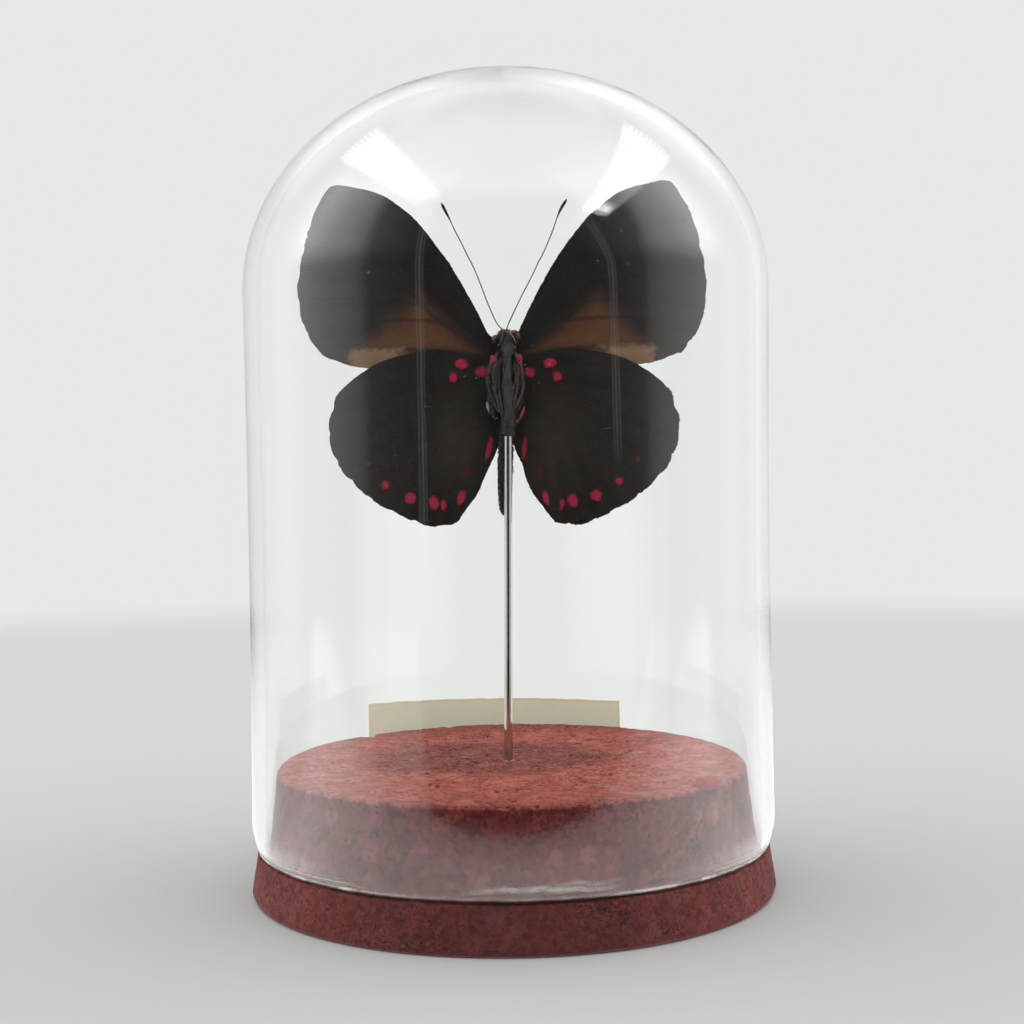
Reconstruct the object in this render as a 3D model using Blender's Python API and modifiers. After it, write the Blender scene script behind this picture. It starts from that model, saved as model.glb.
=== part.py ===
"""A mounted butterfly on a thin steel rod, under a glass dome that rests on a stepped cork base.

Metres, +Z up. The origin is the middle of the base's underside, and the butterfly shows its
underside to -Y, which is the front. Left is -X and right is +X, as seen from the front.
"""
import math

import bmesh
import bpy
from mathutils import Euler, Matrix, Vector

OBJECT_NAME = "insect_in_glass_dome"

# Gaps between touching pieces
SEAT_GAP = 0.0003
FINE_GAP = 0.0001

# Cork base, from the table up
CORK_FOOT_RADIUS = 0.04005
CORK_FOOT_ROUNDING = 0.0010
LEDGE_RADIUS = 0.0392
LEDGE_HEIGHT = 0.0068
PLUG_FOOT_RADIUS = 0.0370
PLUG_TOP_RADIUS = 0.03594
PLUG_EDGE_ROUNDING = 0.0006
CORK_HEIGHT = 0.01905
LEDGE_CHAMFER = 0.0003
ROD_BORE_DEPTH = 0.0080
# A raised grain on the plug's top edge: bearing from the back, half sizes, how far in and down it sits
KNOB_ANGLE = math.radians(131.0)
KNOB_SIZE = (0.0020, 0.0014, 0.0012)
KNOB_INSET = 0.0008
KNOB_SINK = 0.0004

# Glass dome: a cylinder with a slight waist under an elliptical cap
GLASS_RADIUS = 0.0400
GLASS_WALL = 0.0020
GLASS_BOTTOM = LEDGE_HEIGHT + SEAT_GAP
CAP_START = 0.0910
CAP_HEIGHT = 0.0335
WAIST_DEPTH = 0.0003
RIM_TUCK = 0.0010
RIM_TUCK_HEIGHT = 0.0044
RIM_WALL = 0.0017

# Steel rod, which leans a little to the right
ROD_RADIUS = 0.00065
ROD_Y = -0.0010
ROD_FOOT_X = -0.00065
ROD_TOP_X = 0.0001
ROD_TOP = 0.0718
COLLAR_RADIUS = 0.0011
COLLAR_SPAN = (0.0691, 0.0721)
COLLAR_ROUNDING = 0.0002

# Butterfly: its own middle, and the wings' middle, which is a little left of it
BODY_X = -0.0001
WING_MIDDLE_X = -0.00055
THORAX_CENTRE = (BODY_X, 0.0012, 0.0781)
THORAX_SIZE = (0.0024, 0.0021, 0.0052)
HEAD_CENTRE = (0.0, 0.0007, 0.0843)
HEAD_SIZE = (0.0015, 0.0013, 0.00145)
EYE_RADIUS = 0.0009
EYE_CENTRES = ((-0.00145, 0.0005, 0.0842), (0.00135, 0.0005, 0.0848))
ABDOMEN_SPAN = (0.0568, 0.0745)
ABDOMEN_RADIUS = 0.00115
ABDOMEN_Y = 0.00155
ABDOMEN_TIP_X = -0.0007
ABDOMEN_RINGS = 8
ABDOMEN_RING_DEPTH = 0.09
ABDOMEN_FULLNESS = 0.45
LEG_RADIUS = 0.00028
WING_THICKNESS = 0.0003
FOREWING_Y = 0.0028
HINDWING_Y = FOREWING_Y - 2 * WING_THICKNESS
WING_LIFT = 0.0025
WING_REACH = 0.0320
ANTENNA_RADIUS = 0.00011
ANTENNA_CLUB_RADIUS = 0.00024

# Paper label, bent round the back of the glass
LABEL_ANGLES = (math.radians(-38.5), math.radians(28.5))
LABEL_SPAN = (0.0116, 0.0233)
LABEL_THICKNESS = 0.00025

TURN_STEPS = 48
CAP_STEPS = 9
WALL_HEIGHTS = (0.0720, 0.0520, 0.0320, 0.0180, 0.0125)
RIM_HEIGHTS = (0.0105, 0.0092)
WING_RINGS = (0.4, 0.75, 1.0)
SMOOTH_ANGLE = math.radians(40)
CUT_OVERRUN = 0.0010

# Wing outlines: distance from the wings' middle and height, in millimetres
FOREWING_EDGE = (
    (4.6, 89.9), (8.5, 96.7), (12.9, 102.7), (16.7, 106.1), (22.8, 108.7), (26.7, 109.3),
    (28.9, 106.6), (31.2, 100.5), (32.4, 93.0), (31.6, 86.9), (28.5, 82.4), (23.5, 80.5), (13.0, 79.6),
)
FOREWING_ROOT = ((2.5, 83.6), (2.5, 80.6))
FOREWING_CENTRE = (16.0, 91.0)
HINDWING_EDGE = (
    (5.0, 81.6), (11.4, 83.0), (18.4, 82.0), (24.3, 78.3), (27.4, 72.0), (26.9, 66.8),
    (24.5, 63.0), (17.7, 57.8), (12.0, 55.5), (8.0, 55.9), (4.3, 60.3), (2.6, 64.8), (1.9, 68.0),
)
HINDWING_ROOT = ((2.7, 79.9), (2.7, 72.5))
HINDWING_CENTRE = (11.0, 72.0)

# Antennae from the head outwards, in millimetres: X, Y, height
ANTENNA_LEFT = (
    (-1.15, 0.7, 86.25), (-2.6, 1.0, 89.3), (-4.8, 1.5, 95.1), (-7.8, 2.0, 101.4), (-9.8, 2.2, 105.65),
)
ANTENNA_RIGHT = (
    (0.35, 0.7, 86.25), (1.65, 1.0, 89.2), (4.4, 1.5, 94.4),
    (6.8, 1.9, 99.4), (8.5, 2.1, 103.9), (9.7, 2.2, 106.0),
)

# Folded legs, in millimetres: from the chest out to the knee and in to the collar
LEGS = (
    ((-1.0, 0.1, 82.2), (-1.9, -0.8, 79.8), (-2.2, -1.0, 77.0), (-0.9, -1.5, 73.0)),
    ((1.1, 0.1, 82.2), (1.7, -0.8, 79.8), (1.9, -1.0, 77.0), (1.0, -1.5, 73.0)),
    ((-0.7, 0.0, 81.4), (-0.5, -1.2, 78.8), (-0.9, -1.5, 76.0), (-0.3, -1.7, 72.8)),
    ((0.7, 0.0, 81.4), (0.6, -1.2, 78.8), (0.4, -1.5, 76.0), (0.4, -1.7, 72.8)),
)
LEG_TAPER = (1.6, 1.3, 1.0, 1.0)
PALPS = (
    ((-0.6, 0.2, 82.6), (-0.75, -0.7, 84.2), (-0.45, -0.7, 86.0)),
    ((0.6, 0.2, 82.6), (0.65, -0.7, 84.2), (0.35, -0.7, 86.0)),
)
PALP_RADII = (0.00035, 0.00045, 0.0002)


def clear_scene():
    for item in list(bpy.data.objects):
        bpy.data.objects.remove(item, do_unlink=True)


def new_collection(name):
    group = bpy.data.collections.new(name)
    bpy.context.scene.collection.children.link(group)
    return group


def make_material(name, colour, roughness, metallic=0.0, transmission=0.0):
    made = bpy.data.materials.new(name)
    made.use_nodes = True
    shader = made.node_tree.nodes["Principled BSDF"]
    shader.inputs["Base Color"].default_value = (*colour, 1.0)
    shader.inputs["Roughness"].default_value = roughness
    shader.inputs["Metallic"].default_value = metallic
    shader.inputs["Transmission Weight"].default_value = transmission
    return made


def add_object(name, mesh, group, material=None):
    """An object in a group, shaded smooth except across its sharp edges."""
    item = bpy.data.objects.new(name, mesh)
    group.objects.link(item)
    if material:
        mesh.materials.append(material)
    mesh.shade_smooth()
    mesh.set_sharp_from_angle(angle=SMOOTH_ANGLE)
    return item


def mark_as_cutter(item):
    item.hide_render = True
    item.display_type = "WIRE"


def boolean(item, operand, operation):
    step = item.modifiers.new(operation.lower() + "_" + operand.name, "BOOLEAN")
    step.operation = operation
    step.object = operand
    step.solver = "EXACT"


def baked(item, name, group, material=None):
    """A plain mesh with an object's modifiers or bevel applied, in place of that object."""
    graph = bpy.context.evaluated_depsgraph_get()
    mesh = bpy.data.meshes.new_from_object(item.evaluated_get(graph))
    shape = bmesh.new()
    shape.from_mesh(mesh)
    bmesh.ops.remove_doubles(shape, verts=shape.verts, dist=0.000001)
    shape.to_mesh(mesh)
    shape.free()
    place = item.matrix_world.copy()
    bpy.data.objects.remove(item, do_unlink=True)
    mesh.materials.clear()
    plain = add_object(name, mesh, group, material)
    plain.matrix_world = place
    return plain


def turned(name, profile, group, material=None, steps=TURN_STEPS):
    """A profile of (radius, height) points, down its outer side, turned about Z."""
    mesh = bpy.data.meshes.new(name)
    points = [(radius, 0.0, height) for radius, height in profile]
    mesh.from_pydata(points, [(i, i + 1) for i in range(len(points) - 1)], [])
    outline = add_object(name + "_outline", mesh, group)
    screw = outline.modifiers.new("turn", "SCREW")
    screw.steps = screw.render_steps = steps
    screw.use_merge_vertices = True
    screw.merge_threshold = 0.00001
    return baked(outline, name, group, material)


def arc(centre, size, start, end, steps):
    """Points on an ellipse of the given (radius, height) size, from one angle to another."""
    angles = [math.radians(start + (end - start) * i / steps) for i in range(steps + 1)]
    return [(centre[0] + size[0] * math.cos(a), centre[1] + size[1] * math.sin(a)) for a in angles]


def tube(name, points_mm, radii, group, material=None):
    """A round tube through the points, in millimetres, with one radius for each point."""
    curve = bpy.data.curves.new(name, "CURVE")
    curve.dimensions = "3D"
    curve.bevel_depth = 1.0
    curve.bevel_resolution = 2
    curve.use_fill_caps = True
    line = curve.splines.new("POLY")
    line.points.add(len(points_mm) - 1)
    for point, place, radius in zip(line.points, points_mm, radii):
        point.co = (*(Vector(place) * 0.001), 1.0)
        point.radius = radius
    item = bpy.data.objects.new(name + "_path", curve)
    group.objects.link(item)
    return baked(item, name, group, material)


def smooth_run(points, steps):
    """Points on a Catmull-Rom curve through the given points."""
    points = [Vector(p) for p in points]
    ends = [2 * points[0] - points[1], *points, 2 * points[-1] - points[-2]]
    run = []
    for a, b, c, d in zip(ends, ends[1:], ends[2:], ends[3:]):
        for i in range(steps):
            t = i / steps
            run.append(0.5 * (2 * b + (c - a) * t + (2 * a - 5 * b + 4 * c - d) * t * t
                              + (3 * b - a - 3 * c + d) * t * t * t))
    return [*run, points[-1]]


def ball(name, centre, size, group, segments=14, rings=9):
    shape = bmesh.new()
    bmesh.ops.create_uvsphere(shape, u_segments=segments, v_segments=rings, radius=1.0)
    bmesh.ops.scale(shape, vec=Vector(size), verts=shape.verts)
    bmesh.ops.translate(shape, vec=Vector(centre), verts=shape.verts)
    mesh = bpy.data.meshes.new(name)
    shape.to_mesh(mesh)
    shape.free()
    return add_object(name, mesh, group)


def rod_shape(name, radius, low, high, group, material=None):
    """A straight cylinder along the rod's leaning axis, between two heights."""
    lean = Vector((ROD_TOP_X - ROD_FOOT_X, 0.0, ROD_TOP - CORK_HEIGHT))
    foot = Vector((ROD_FOOT_X, ROD_Y, CORK_HEIGHT))
    start = foot + lean * ((low - CORK_HEIGHT) / lean.z)
    end = foot + lean * ((high - CORK_HEIGHT) / lean.z)
    shape = bmesh.new()
    bmesh.ops.create_cone(
        shape, cap_ends=True, segments=16, radius1=radius, radius2=radius, depth=(end - start).length)
    turn = lean.to_track_quat("Z", "Y").to_matrix().to_4x4()
    bmesh.ops.transform(shape, matrix=Matrix.Translation((start + end) / 2) @ turn, verts=shape.verts)
    mesh = bpy.data.meshes.new(name)
    shape.to_mesh(mesh)
    shape.free()
    return add_object(name, mesh, group, material)


def cork_base(parts, cutters, material):
    """The stepped, tapered plug: a foot, the ledge that carries the glass, and the plug in its mouth."""
    side = CORK_FOOT_ROUNDING
    profile = [
        (0.0, CORK_HEIGHT),
        *arc((PLUG_TOP_RADIUS - PLUG_EDGE_ROUNDING, CORK_HEIGHT - PLUG_EDGE_ROUNDING),
             (PLUG_EDGE_ROUNDING, PLUG_EDGE_ROUNDING), 90, 8, 3),
        (PLUG_FOOT_RADIUS, LEDGE_HEIGHT),
        (LEDGE_RADIUS - LEDGE_CHAMFER, LEDGE_HEIGHT),
        (LEDGE_RADIUS, LEDGE_HEIGHT - LEDGE_CHAMFER),
        *arc((CORK_FOOT_RADIUS - side, side), (side, side), 0, -90, 4),
        (0.0, 0.0),
    ]
    base = turned("cork_base", profile, parts, material)
    out = PLUG_TOP_RADIUS - KNOB_INSET
    knob = ball("knob", (0.0, 0.0, 0.0), KNOB_SIZE, cutters, segments=10, rings=7)
    knob.location = (out * math.sin(KNOB_ANGLE), out * math.cos(KNOB_ANGLE), CORK_HEIGHT - KNOB_SINK)
    knob.rotation_euler = Euler((0.0, 0.0, -KNOB_ANGLE))
    bore_span = (CORK_HEIGHT - ROD_BORE_DEPTH, CORK_HEIGHT + CUT_OVERRUN)
    bore = rod_shape("rod_bore", ROD_RADIUS + FINE_GAP, *bore_span, cutters)
    mark_as_cutter(knob)
    mark_as_cutter(bore)
    boolean(base, knob, "UNION")
    boolean(base, bore, "DIFFERENCE")
    return base


def glass_radius(height):
    """Outer radius of the glass wall: a slight waist at half height, and a tucked-in rim."""
    along = (height - GLASS_BOTTOM) / (CAP_START - GLASS_BOTTOM)
    tuck = max(0.0, 1.0 - (height - GLASS_BOTTOM) / RIM_TUCK_HEIGHT)
    return GLASS_RADIUS - WAIST_DEPTH * math.sin(math.pi * along) - RIM_TUCK * tuck ** 1.5


def glass_dome(parts, material):
    """The shell: down the outside from the crown, round the fire-polished rim, and up the inside."""
    rim_half = RIM_WALL / 2
    rim_centre = (glass_radius(GLASS_BOTTOM + rim_half) - rim_half, GLASS_BOTTOM + rim_half)
    outer = arc((0.0, CAP_START), (GLASS_RADIUS, CAP_HEIGHT), 90, 0, CAP_STEPS)
    outer[0] = (0.0, CAP_START + CAP_HEIGHT)
    inner = arc((0.0, CAP_START), (GLASS_RADIUS - GLASS_WALL, CAP_HEIGHT - GLASS_WALL), 0, 90, CAP_STEPS)
    inner[-1] = (0.0, CAP_START + CAP_HEIGHT - GLASS_WALL)
    profile = [
        *outer,
        *((glass_radius(z), z) for z in (*WALL_HEIGHTS, *RIM_HEIGHTS)),
        *arc(rim_centre, (rim_half, rim_half), 0, -180, 4),
        *((glass_radius(z) - GLASS_WALL, z) for z in reversed(WALL_HEIGHTS)),
        *inner,
    ]
    return turned("glass_dome", profile, parts, material)


def steel_rod(parts, material):
    foot = CORK_HEIGHT - ROD_BORE_DEPTH + SEAT_GAP
    return rod_shape("steel_rod", ROD_RADIUS, foot, ROD_TOP, parts, material)


def rod_collar(parts, cutters, material):
    """The dark sleeve in which the rod's top is fixed to the folded legs."""
    low, high = COLLAR_SPAN
    collar = rod_shape("rod_collar", COLLAR_RADIUS, low, high, parts, material)
    bevel = collar.modifiers.new("soft_edges", "BEVEL")
    bevel.width = COLLAR_ROUNDING
    bevel.segments = 1
    bevel.limit_method = "ANGLE"
    bore = rod_shape("collar_bore", ROD_RADIUS + FINE_GAP, low - CUT_OVERRUN, ROD_TOP + FINE_GAP, cutters)
    mark_as_cutter(bore)
    boolean(collar, bore, "DIFFERENCE")
    return collar


def abdomen(cutters):
    """A ringed spindle that leans to its tip.

    Its radius follows a flattened half sine wave, with every other point drawn in for the rings.
    """
    low, high = ABDOMEN_SPAN
    steps = 2 * ABDOMEN_RINGS + 2
    profile = [(0.0, high)]
    for i in range(1, steps):
        swell = math.sin(math.pi * i / steps) ** ABDOMEN_FULLNESS
        ring = 1.0 - ABDOMEN_RING_DEPTH * (i % 2)
        profile.append((ABDOMEN_RADIUS * swell * ring, high - (high - low) * i / steps))
    profile.append((0.0, low))
    shape = turned("abdomen", profile, cutters, steps=12)
    for vertex in shape.data.vertices:
        down = (high - vertex.co.z) / (high - low)
        vertex.co.x += BODY_X + (ABDOMEN_TIP_X - BODY_X) * down
        vertex.co.y += ABDOMEN_Y
    return shape


def butterfly_body(parts, cutters, material):
    """Thorax, head, eyes, palps, abdomen and folded legs, joined in one solid."""
    body = ball("butterfly_body", THORAX_CENTRE, THORAX_SIZE, parts, segments=16, rings=11)
    body.data.materials.append(material)
    pieces = [ball("head", HEAD_CENTRE, HEAD_SIZE, cutters), abdomen(cutters)]
    for i, centre in enumerate(EYE_CENTRES):
        pieces.append(ball(f"eye_{i}", centre, (EYE_RADIUS,) * 3, cutters, segments=10, rings=7))
    for i, points in enumerate(PALPS):
        pieces.append(tube(f"palp_{i}", points, PALP_RADII, cutters))
    for i, points in enumerate(LEGS):
        pieces.append(tube(f"leg_{i}", points, [LEG_RADIUS * share for share in LEG_TAPER], cutters))
    for piece in pieces:
        mark_as_cutter(piece)
        boolean(body, piece, "UNION")
    return body


def wing(name, side, root, edge, centre, depth, parts, material):
    """A thin plate: rings of points round its centre, set back where it reaches out.

    The set-back is the wing's depth at the body, plus the lift times the square of the reach.
    """
    root = [Vector((BODY_X + side * x * 0.001, z * 0.001)) for x, z in root]
    *tips, middle = [Vector((WING_MIDDLE_X + side * x * 0.001, z * 0.001)) for x, z in (*edge, centre)]
    outline = smooth_run([root[0], *tips, root[1]], 3)
    shape = bmesh.new()

    def place(flat):
        reach = abs(flat.x - WING_MIDDLE_X) / WING_REACH
        return shape.verts.new((flat.x, depth + WING_LIFT * reach * reach, flat.y))

    hub = place(middle)
    rings = [[place(middle.lerp(p, share)) for p in outline] for share in WING_RINGS]
    for i in range(len(outline)):
        shape.faces.new((hub, rings[0][i - 1], rings[0][i]))
        for inner, outer in zip(rings, rings[1:]):
            shape.faces.new((inner[i - 1], outer[i - 1], outer[i], inner[i]))
    bmesh.ops.recalc_face_normals(shape, faces=shape.faces)
    mesh = bpy.data.meshes.new(name)
    shape.to_mesh(mesh)
    shape.free()
    item = add_object(name, mesh, parts, material)
    plate = item.modifiers.new("thickness", "SOLIDIFY")
    plate.thickness = WING_THICKNESS
    plate.offset = 0.0
    return item


def antenna(name, points, parts, material):
    run = smooth_run(points, 2)
    radii = [ANTENNA_RADIUS] * (len(run) - 2) + [ANTENNA_CLUB_RADIUS] * 2
    return tube(name, run, radii, parts, material)


def paper_label(parts, material):
    """A strip of paper bent round the back of the glass."""
    low, high = LABEL_SPAN
    radius = GLASS_RADIUS + FINE_GAP + LABEL_THICKNESS / 2
    start, end = LABEL_ANGLES
    mesh = bpy.data.meshes.new("paper_label")
    foot = (radius * math.sin(start), radius * math.cos(start))
    mesh.from_pydata([(*foot, high), (*foot, low)], [(0, 1)], [])
    item = add_object("paper_label", mesh, parts, material)
    bend = item.modifiers.new("bend", "SCREW")
    bend.angle = start - end
    bend.steps = bend.render_steps = 12
    paper = item.modifiers.new("thickness", "SOLIDIFY")
    paper.thickness = LABEL_THICKNESS
    paper.offset = 0.0
    return item


def main():
    clear_scene()
    parts = new_collection(OBJECT_NAME)
    cutters = new_collection("cutters")
    glass = make_material("clear_glass", (0.97, 0.98, 0.97), 0.02, transmission=1.0)
    cork = make_material("red_cork", (0.26, 0.07, 0.055), 0.9)
    steel = make_material("polished_steel", (0.72, 0.73, 0.72), 0.12, metallic=1.0)
    sleeve = make_material("dark_sleeve", (0.045, 0.045, 0.047), 0.5)
    chitin = make_material("dark_body", (0.035, 0.033, 0.032), 0.65)
    scales = make_material("dark_wing", (0.022, 0.018, 0.015), 0.8)
    paper = make_material("cream_paper", (0.68, 0.62, 0.45), 0.85)

    cork_base(parts, cutters, cork)
    glass_dome(parts, glass)
    steel_rod(parts, steel)
    rod_collar(parts, cutters, sleeve)
    butterfly_body(parts, cutters, chitin)
    for side, side_name in ((-1, "left"), (1, "right")):
        wing(f"forewing_{side_name}", side, FOREWING_ROOT, FOREWING_EDGE, FOREWING_CENTRE,
             FOREWING_Y, parts, scales)
        wing(f"hindwing_{side_name}", side, HINDWING_ROOT, HINDWING_EDGE, HINDWING_CENTRE,
             HINDWING_Y, parts, scales)
    antenna("antenna_left", ANTENNA_LEFT, parts, chitin)
    antenna("antenna_right", ANTENNA_RIGHT, parts, chitin)
    paper_label(parts, paper)


main()
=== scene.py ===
"""Dresses a mounted butterfly under its glass dome and sets it on a pale studio floor.

Shapes are worked out in millimetres and put into their meshes in metres, in the frame's own place.
+X is to the right and -Y to the viewer; the butterfly shows its underside to the viewer.
"""

import math
from itertools import product

import bpy
import numpy as np
from bpy.props import FloatProperty, FloatVectorProperty, IntProperty, PointerProperty
from mathutils import Matrix


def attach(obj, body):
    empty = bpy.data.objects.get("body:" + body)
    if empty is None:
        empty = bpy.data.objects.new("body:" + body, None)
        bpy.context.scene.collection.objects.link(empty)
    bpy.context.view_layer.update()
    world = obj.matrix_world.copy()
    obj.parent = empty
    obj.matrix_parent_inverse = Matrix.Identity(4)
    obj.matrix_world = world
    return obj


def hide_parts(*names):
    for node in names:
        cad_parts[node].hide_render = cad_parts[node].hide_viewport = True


bl_info = {
    "name": "Butterfly Under Glass",
    "version": (1, 0, 0),
    "blender": (4, 5, 0),
    "location": "View3D > Sidebar > Butterfly",
    "description": "Dresses a mounted butterfly, its glass dome, cork base, rod and label",
    "category": "Object",
}

MM = 0.001
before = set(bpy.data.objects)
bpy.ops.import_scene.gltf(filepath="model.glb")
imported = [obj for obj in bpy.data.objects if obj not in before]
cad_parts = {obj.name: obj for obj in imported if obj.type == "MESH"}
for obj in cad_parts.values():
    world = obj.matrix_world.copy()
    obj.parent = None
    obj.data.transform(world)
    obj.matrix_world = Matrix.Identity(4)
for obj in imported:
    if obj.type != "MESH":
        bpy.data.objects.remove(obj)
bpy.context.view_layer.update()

# Cork, from its foot to its top
FOOT_RADIUS = 40.05
FOOT_ROUNDING = 1.0
LEDGE_RADIUS = 39.2
LEDGE_HEIGHT = 6.8
PLUG_FOOT_RADIUS = 37.4
PLUG_TOP_RADIUS = 36.1
PLUG_SHIFT = 0.15
PLUG_ROUNDING = 0.6
CORK_TOP = 19.35
# Darker field round the rod on the cork's top: middle and half sizes
DARK_MIDDLE = (-4.0, 2.0)
DARK_REACH = (21.0, 15.0)
# Raised crumb on the edge, and a notch in the back edge
KNOB_BEARING = math.radians(131.0)
KNOB_SIZE = (2.2, 1.6, 1.3)
NOTCH_PLACE = (-24.8, 25.7, 19.35)

# Glass: a waisted cylinder under an elliptical cap, with a tucked rim
GLASS_RADIUS = 40.0
GLASS_BOTTOM = 7.1
CAP_START = 91.0
CAP_HEIGHT = 33.5
WAIST = 0.3
RIM_TUCK = 1.0
RIM_TUCK_HEIGHT = 4.4
RIM_WALL = 1.7

# Rod and sleeve
ROD_FOOT = (-0.65, -1.0, 19.05)
ROD_HEAD = (0.1, -1.0, 71.8)
ROD_START = 11.5
SLEEVE_SPAN = (69.1, 72.3)

# Body
THORAX_CENTRE = (-0.1, 1.2, 78.1)
THORAX_SIZE = (2.4, 2.1, 5.2)
HEAD_CENTRE = (-0.1, 0.75, 84.15)
HEAD_SIZE = (1.45, 1.3, 1.5)
EYES = (((-1.5, 0.45, 83.95), 0.88), ((1.15, 0.45, 84.45), 1.06))
ABDOMEN_SPAN = (56.85, 74.5)
ABDOMEN_RADIUS = 1.16

# Wings: their middle, depth at the body, and set-back at full reach
WING_MIDDLE = -0.55
WING_REACH = 32.0
WING_COLUMNS = 1040
WING_LIFT = 2.5
FOREWING_DEPTH = 2.8
HINDWING_DEPTH = 2.2

# Outlines as (distance from the wings' middle, height)
FOREWING_EDGE = (
    (0.4, 83.6), (2.1, 85.0), (3.2, 87.1), (4.6, 89.9), (8.5, 96.7), (12.9, 102.7), (16.7, 106.1),
    (19.4, 107.7), (22.8, 108.7), (26.7, 109.3), (28.9, 106.6), (30.3, 103.5), (31.2, 100.5),
    (32.3, 94.9), (32.5, 92.4), (32.2, 89.6), (31.6, 86.9), (30.3, 84.6), (28.5, 82.4), (26.0, 81.3),
    (23.5, 80.5), (18.0, 79.8), (13.0, 79.5), (6.0, 79.5), (0.5, 79.7),
)
HINDWING_EDGE = (
    (0.5, 79.9), (2.9, 80.9), (5.5, 81.8), (7.5, 82.45), (11.4, 82.75), (18.4, 81.35), (22.5, 79.2),
    (24.9, 77.4), (26.3, 75.8), (27.1, 73.6), (27.6, 71.4), (27.5, 69.0), (26.9, 66.8), (25.9, 64.7),
    (24.5, 63.0), (21.3, 60.0), (17.7, 57.8), (13.0, 55.7), (10.2, 55.4), (7.7, 56.0), (5.9, 58.2),
    (4.3, 60.3), (3.3, 62.5), (2.2, 64.8), (1.2, 67.0), (0.5, 69.5), (0.4, 73.0), (0.6, 77.0),
)
# How much further the right hindwing's inner edge keeps from the rod
INNER_GAP = 0.5
# The place inside each wing from which its grid spreads to the outline
FOREWING_HUB = (17.0, 93.0)
HINDWING_HUB = (13.0, 70.0)
# Lobed part of each edge, as the two places between which it runs, with the lobes' count and height
FOREWING_LOBES = ((28.9, 106.6), (26.0, 81.3), 7, 0.22)
HINDWING_LOBES = ((24.9, 77.4), (6.4, 57.5), 9, 0.28)

FOREWING_VEINS = (
    ((2.0, 83.2), (6.5, 91.0), (12.0, 99.0), (18.0, 104.8), (23.5, 107.6)),
    ((2.0, 82.8), (8.0, 90.0), (14.5, 98.0), (21.0, 104.0), (27.4, 108.4)),
    ((14.5, 98.0), (21.0, 102.0), (29.6, 105.0)),
    ((15.6, 96.2), (22.5, 99.0), (31.0, 101.2)),
    ((15.4, 93.4), (23.0, 95.2), (32.2, 96.2)),
    ((12.6, 89.8), (21.0, 91.2), (32.4, 91.4)),
    ((9.6, 87.2), (19.0, 87.6), (31.6, 86.8)),
    ((2.0, 82.0), (9.6, 87.2), (12.6, 89.8), (15.4, 93.4), (15.6, 96.2), (14.5, 98.0)),
    ((2.0, 81.4), (12.0, 82.8), (22.0, 82.8), (29.0, 82.9)),
)
HINDWING_VEINS = (
    ((2.0, 79.0), (8.0, 81.4), (16.0, 81.4), (22.8, 79.6)),
    ((2.0, 78.0), (9.0, 78.6), (17.0, 77.6), (26.6, 75.2)),
    ((9.0, 78.6), (14.0, 74.6), (20.0, 72.2), (27.5, 70.4)),
    ((14.0, 74.6), (14.2, 72.6), (20.0, 69.0), (26.4, 65.8)),
    ((14.2, 72.6), (12.8, 70.4), (17.6, 66.0), (23.0, 61.6)),
    ((12.8, 70.4), (10.4, 68.4), (13.8, 63.0), (17.4, 57.8)),
    ((2.0, 76.6), (8.0, 70.0), (9.8, 63.0), (12.2, 55.7)),
    ((2.0, 76.0), (5.4, 69.0), (6.4, 62.0), (7.4, 56.4)),
    ((1.6, 75.0), (3.4, 68.0), (3.9, 61.6)),
    ((8.0, 70.0), (10.4, 68.4)),
)
# Red scale patches under each hindwing: place, half sizes and tilt in degrees
RED_LEFT = (
    (6.51, 80.56, 1.05, 0.76, 12), (7.91, 78.40, 0.72, 0.74, 0), (3.39, 79.24, 0.92, 0.84, 0),
    (2.42, 67.28, 0.42, 2.0, 15), (5.85, 63.91, 0.30, 0.85, 8), (21.44, 65.30, 0.34, 0.34, 0),
    (18.73, 61.95, 0.66, 0.62, 0), (14.84, 59.84, 0.90, 0.84, -30), (11.10, 59.05, 0.78, 1.12, -4),
    (9.59, 58.62, 0.40, 0.90, -2), (6.83, 59.82, 0.62, 1.22, 20),
)
RED_RIGHT = (
    (4.15, 79.03, 0.80, 0.80, 0), (7.27, 80.50, 0.98, 0.76, 8), (8.42, 78.39, 0.76, 0.74, 0),
    (3.06, 67.29, 0.34, 1.9, -6), (5.51, 63.74, 0.30, 0.85, 8), (20.82, 65.36, 0.34, 0.34, 0),
    (17.91, 62.04, 0.58, 0.58, 0), (14.21, 59.82, 0.94, 0.84, -20), (10.53, 59.10, 0.74, 1.12, 6),
    (8.82, 58.58, 0.36, 0.86, -6), (6.37, 59.62, 0.52, 1.16, 14),
)
# Rubbed marks, where the scales are off
RUBBED_LEFT = ((6.0, 78.6, 0.34, 0.07, -40), (20.9, 95.05, 0.30, 0.26, 0), (17.2, 66.5, 0.5, 0.06, 20),
               (12.0, 74.0, 0.9, 0.05, 8), (21.0, 72.5, 0.4, 0.05, -30))
RUBBED_RIGHT = ((15.02, 96.33, 0.20, 0.16, 0), (19.72, 95.85, 0.22, 0.14, 20), (18.85, 101.14, 0.16, 0.2, 0),
                (21.81, 98.96, 0.2, 0.13, 0), (28.0, 108.4, 0.5, 0.2, 20), (9.6, 76.6, 0.5, 0.06, -10),
                (16.0, 70.2, 0.6, 0.05, 14), (7.9, 74.4, 0.3, 0.05, 40))
# Brown field under each forewing, as a triangle: base corner, outer corner, upper corner
BROWN_LEFT = ((3.6, 82.0), (26.0, 81.0), (13.0, 91.4))
BROWN_RIGHT = ((3.6, 82.0), (26.0, 80.8), (14.9, 91.2))
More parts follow.
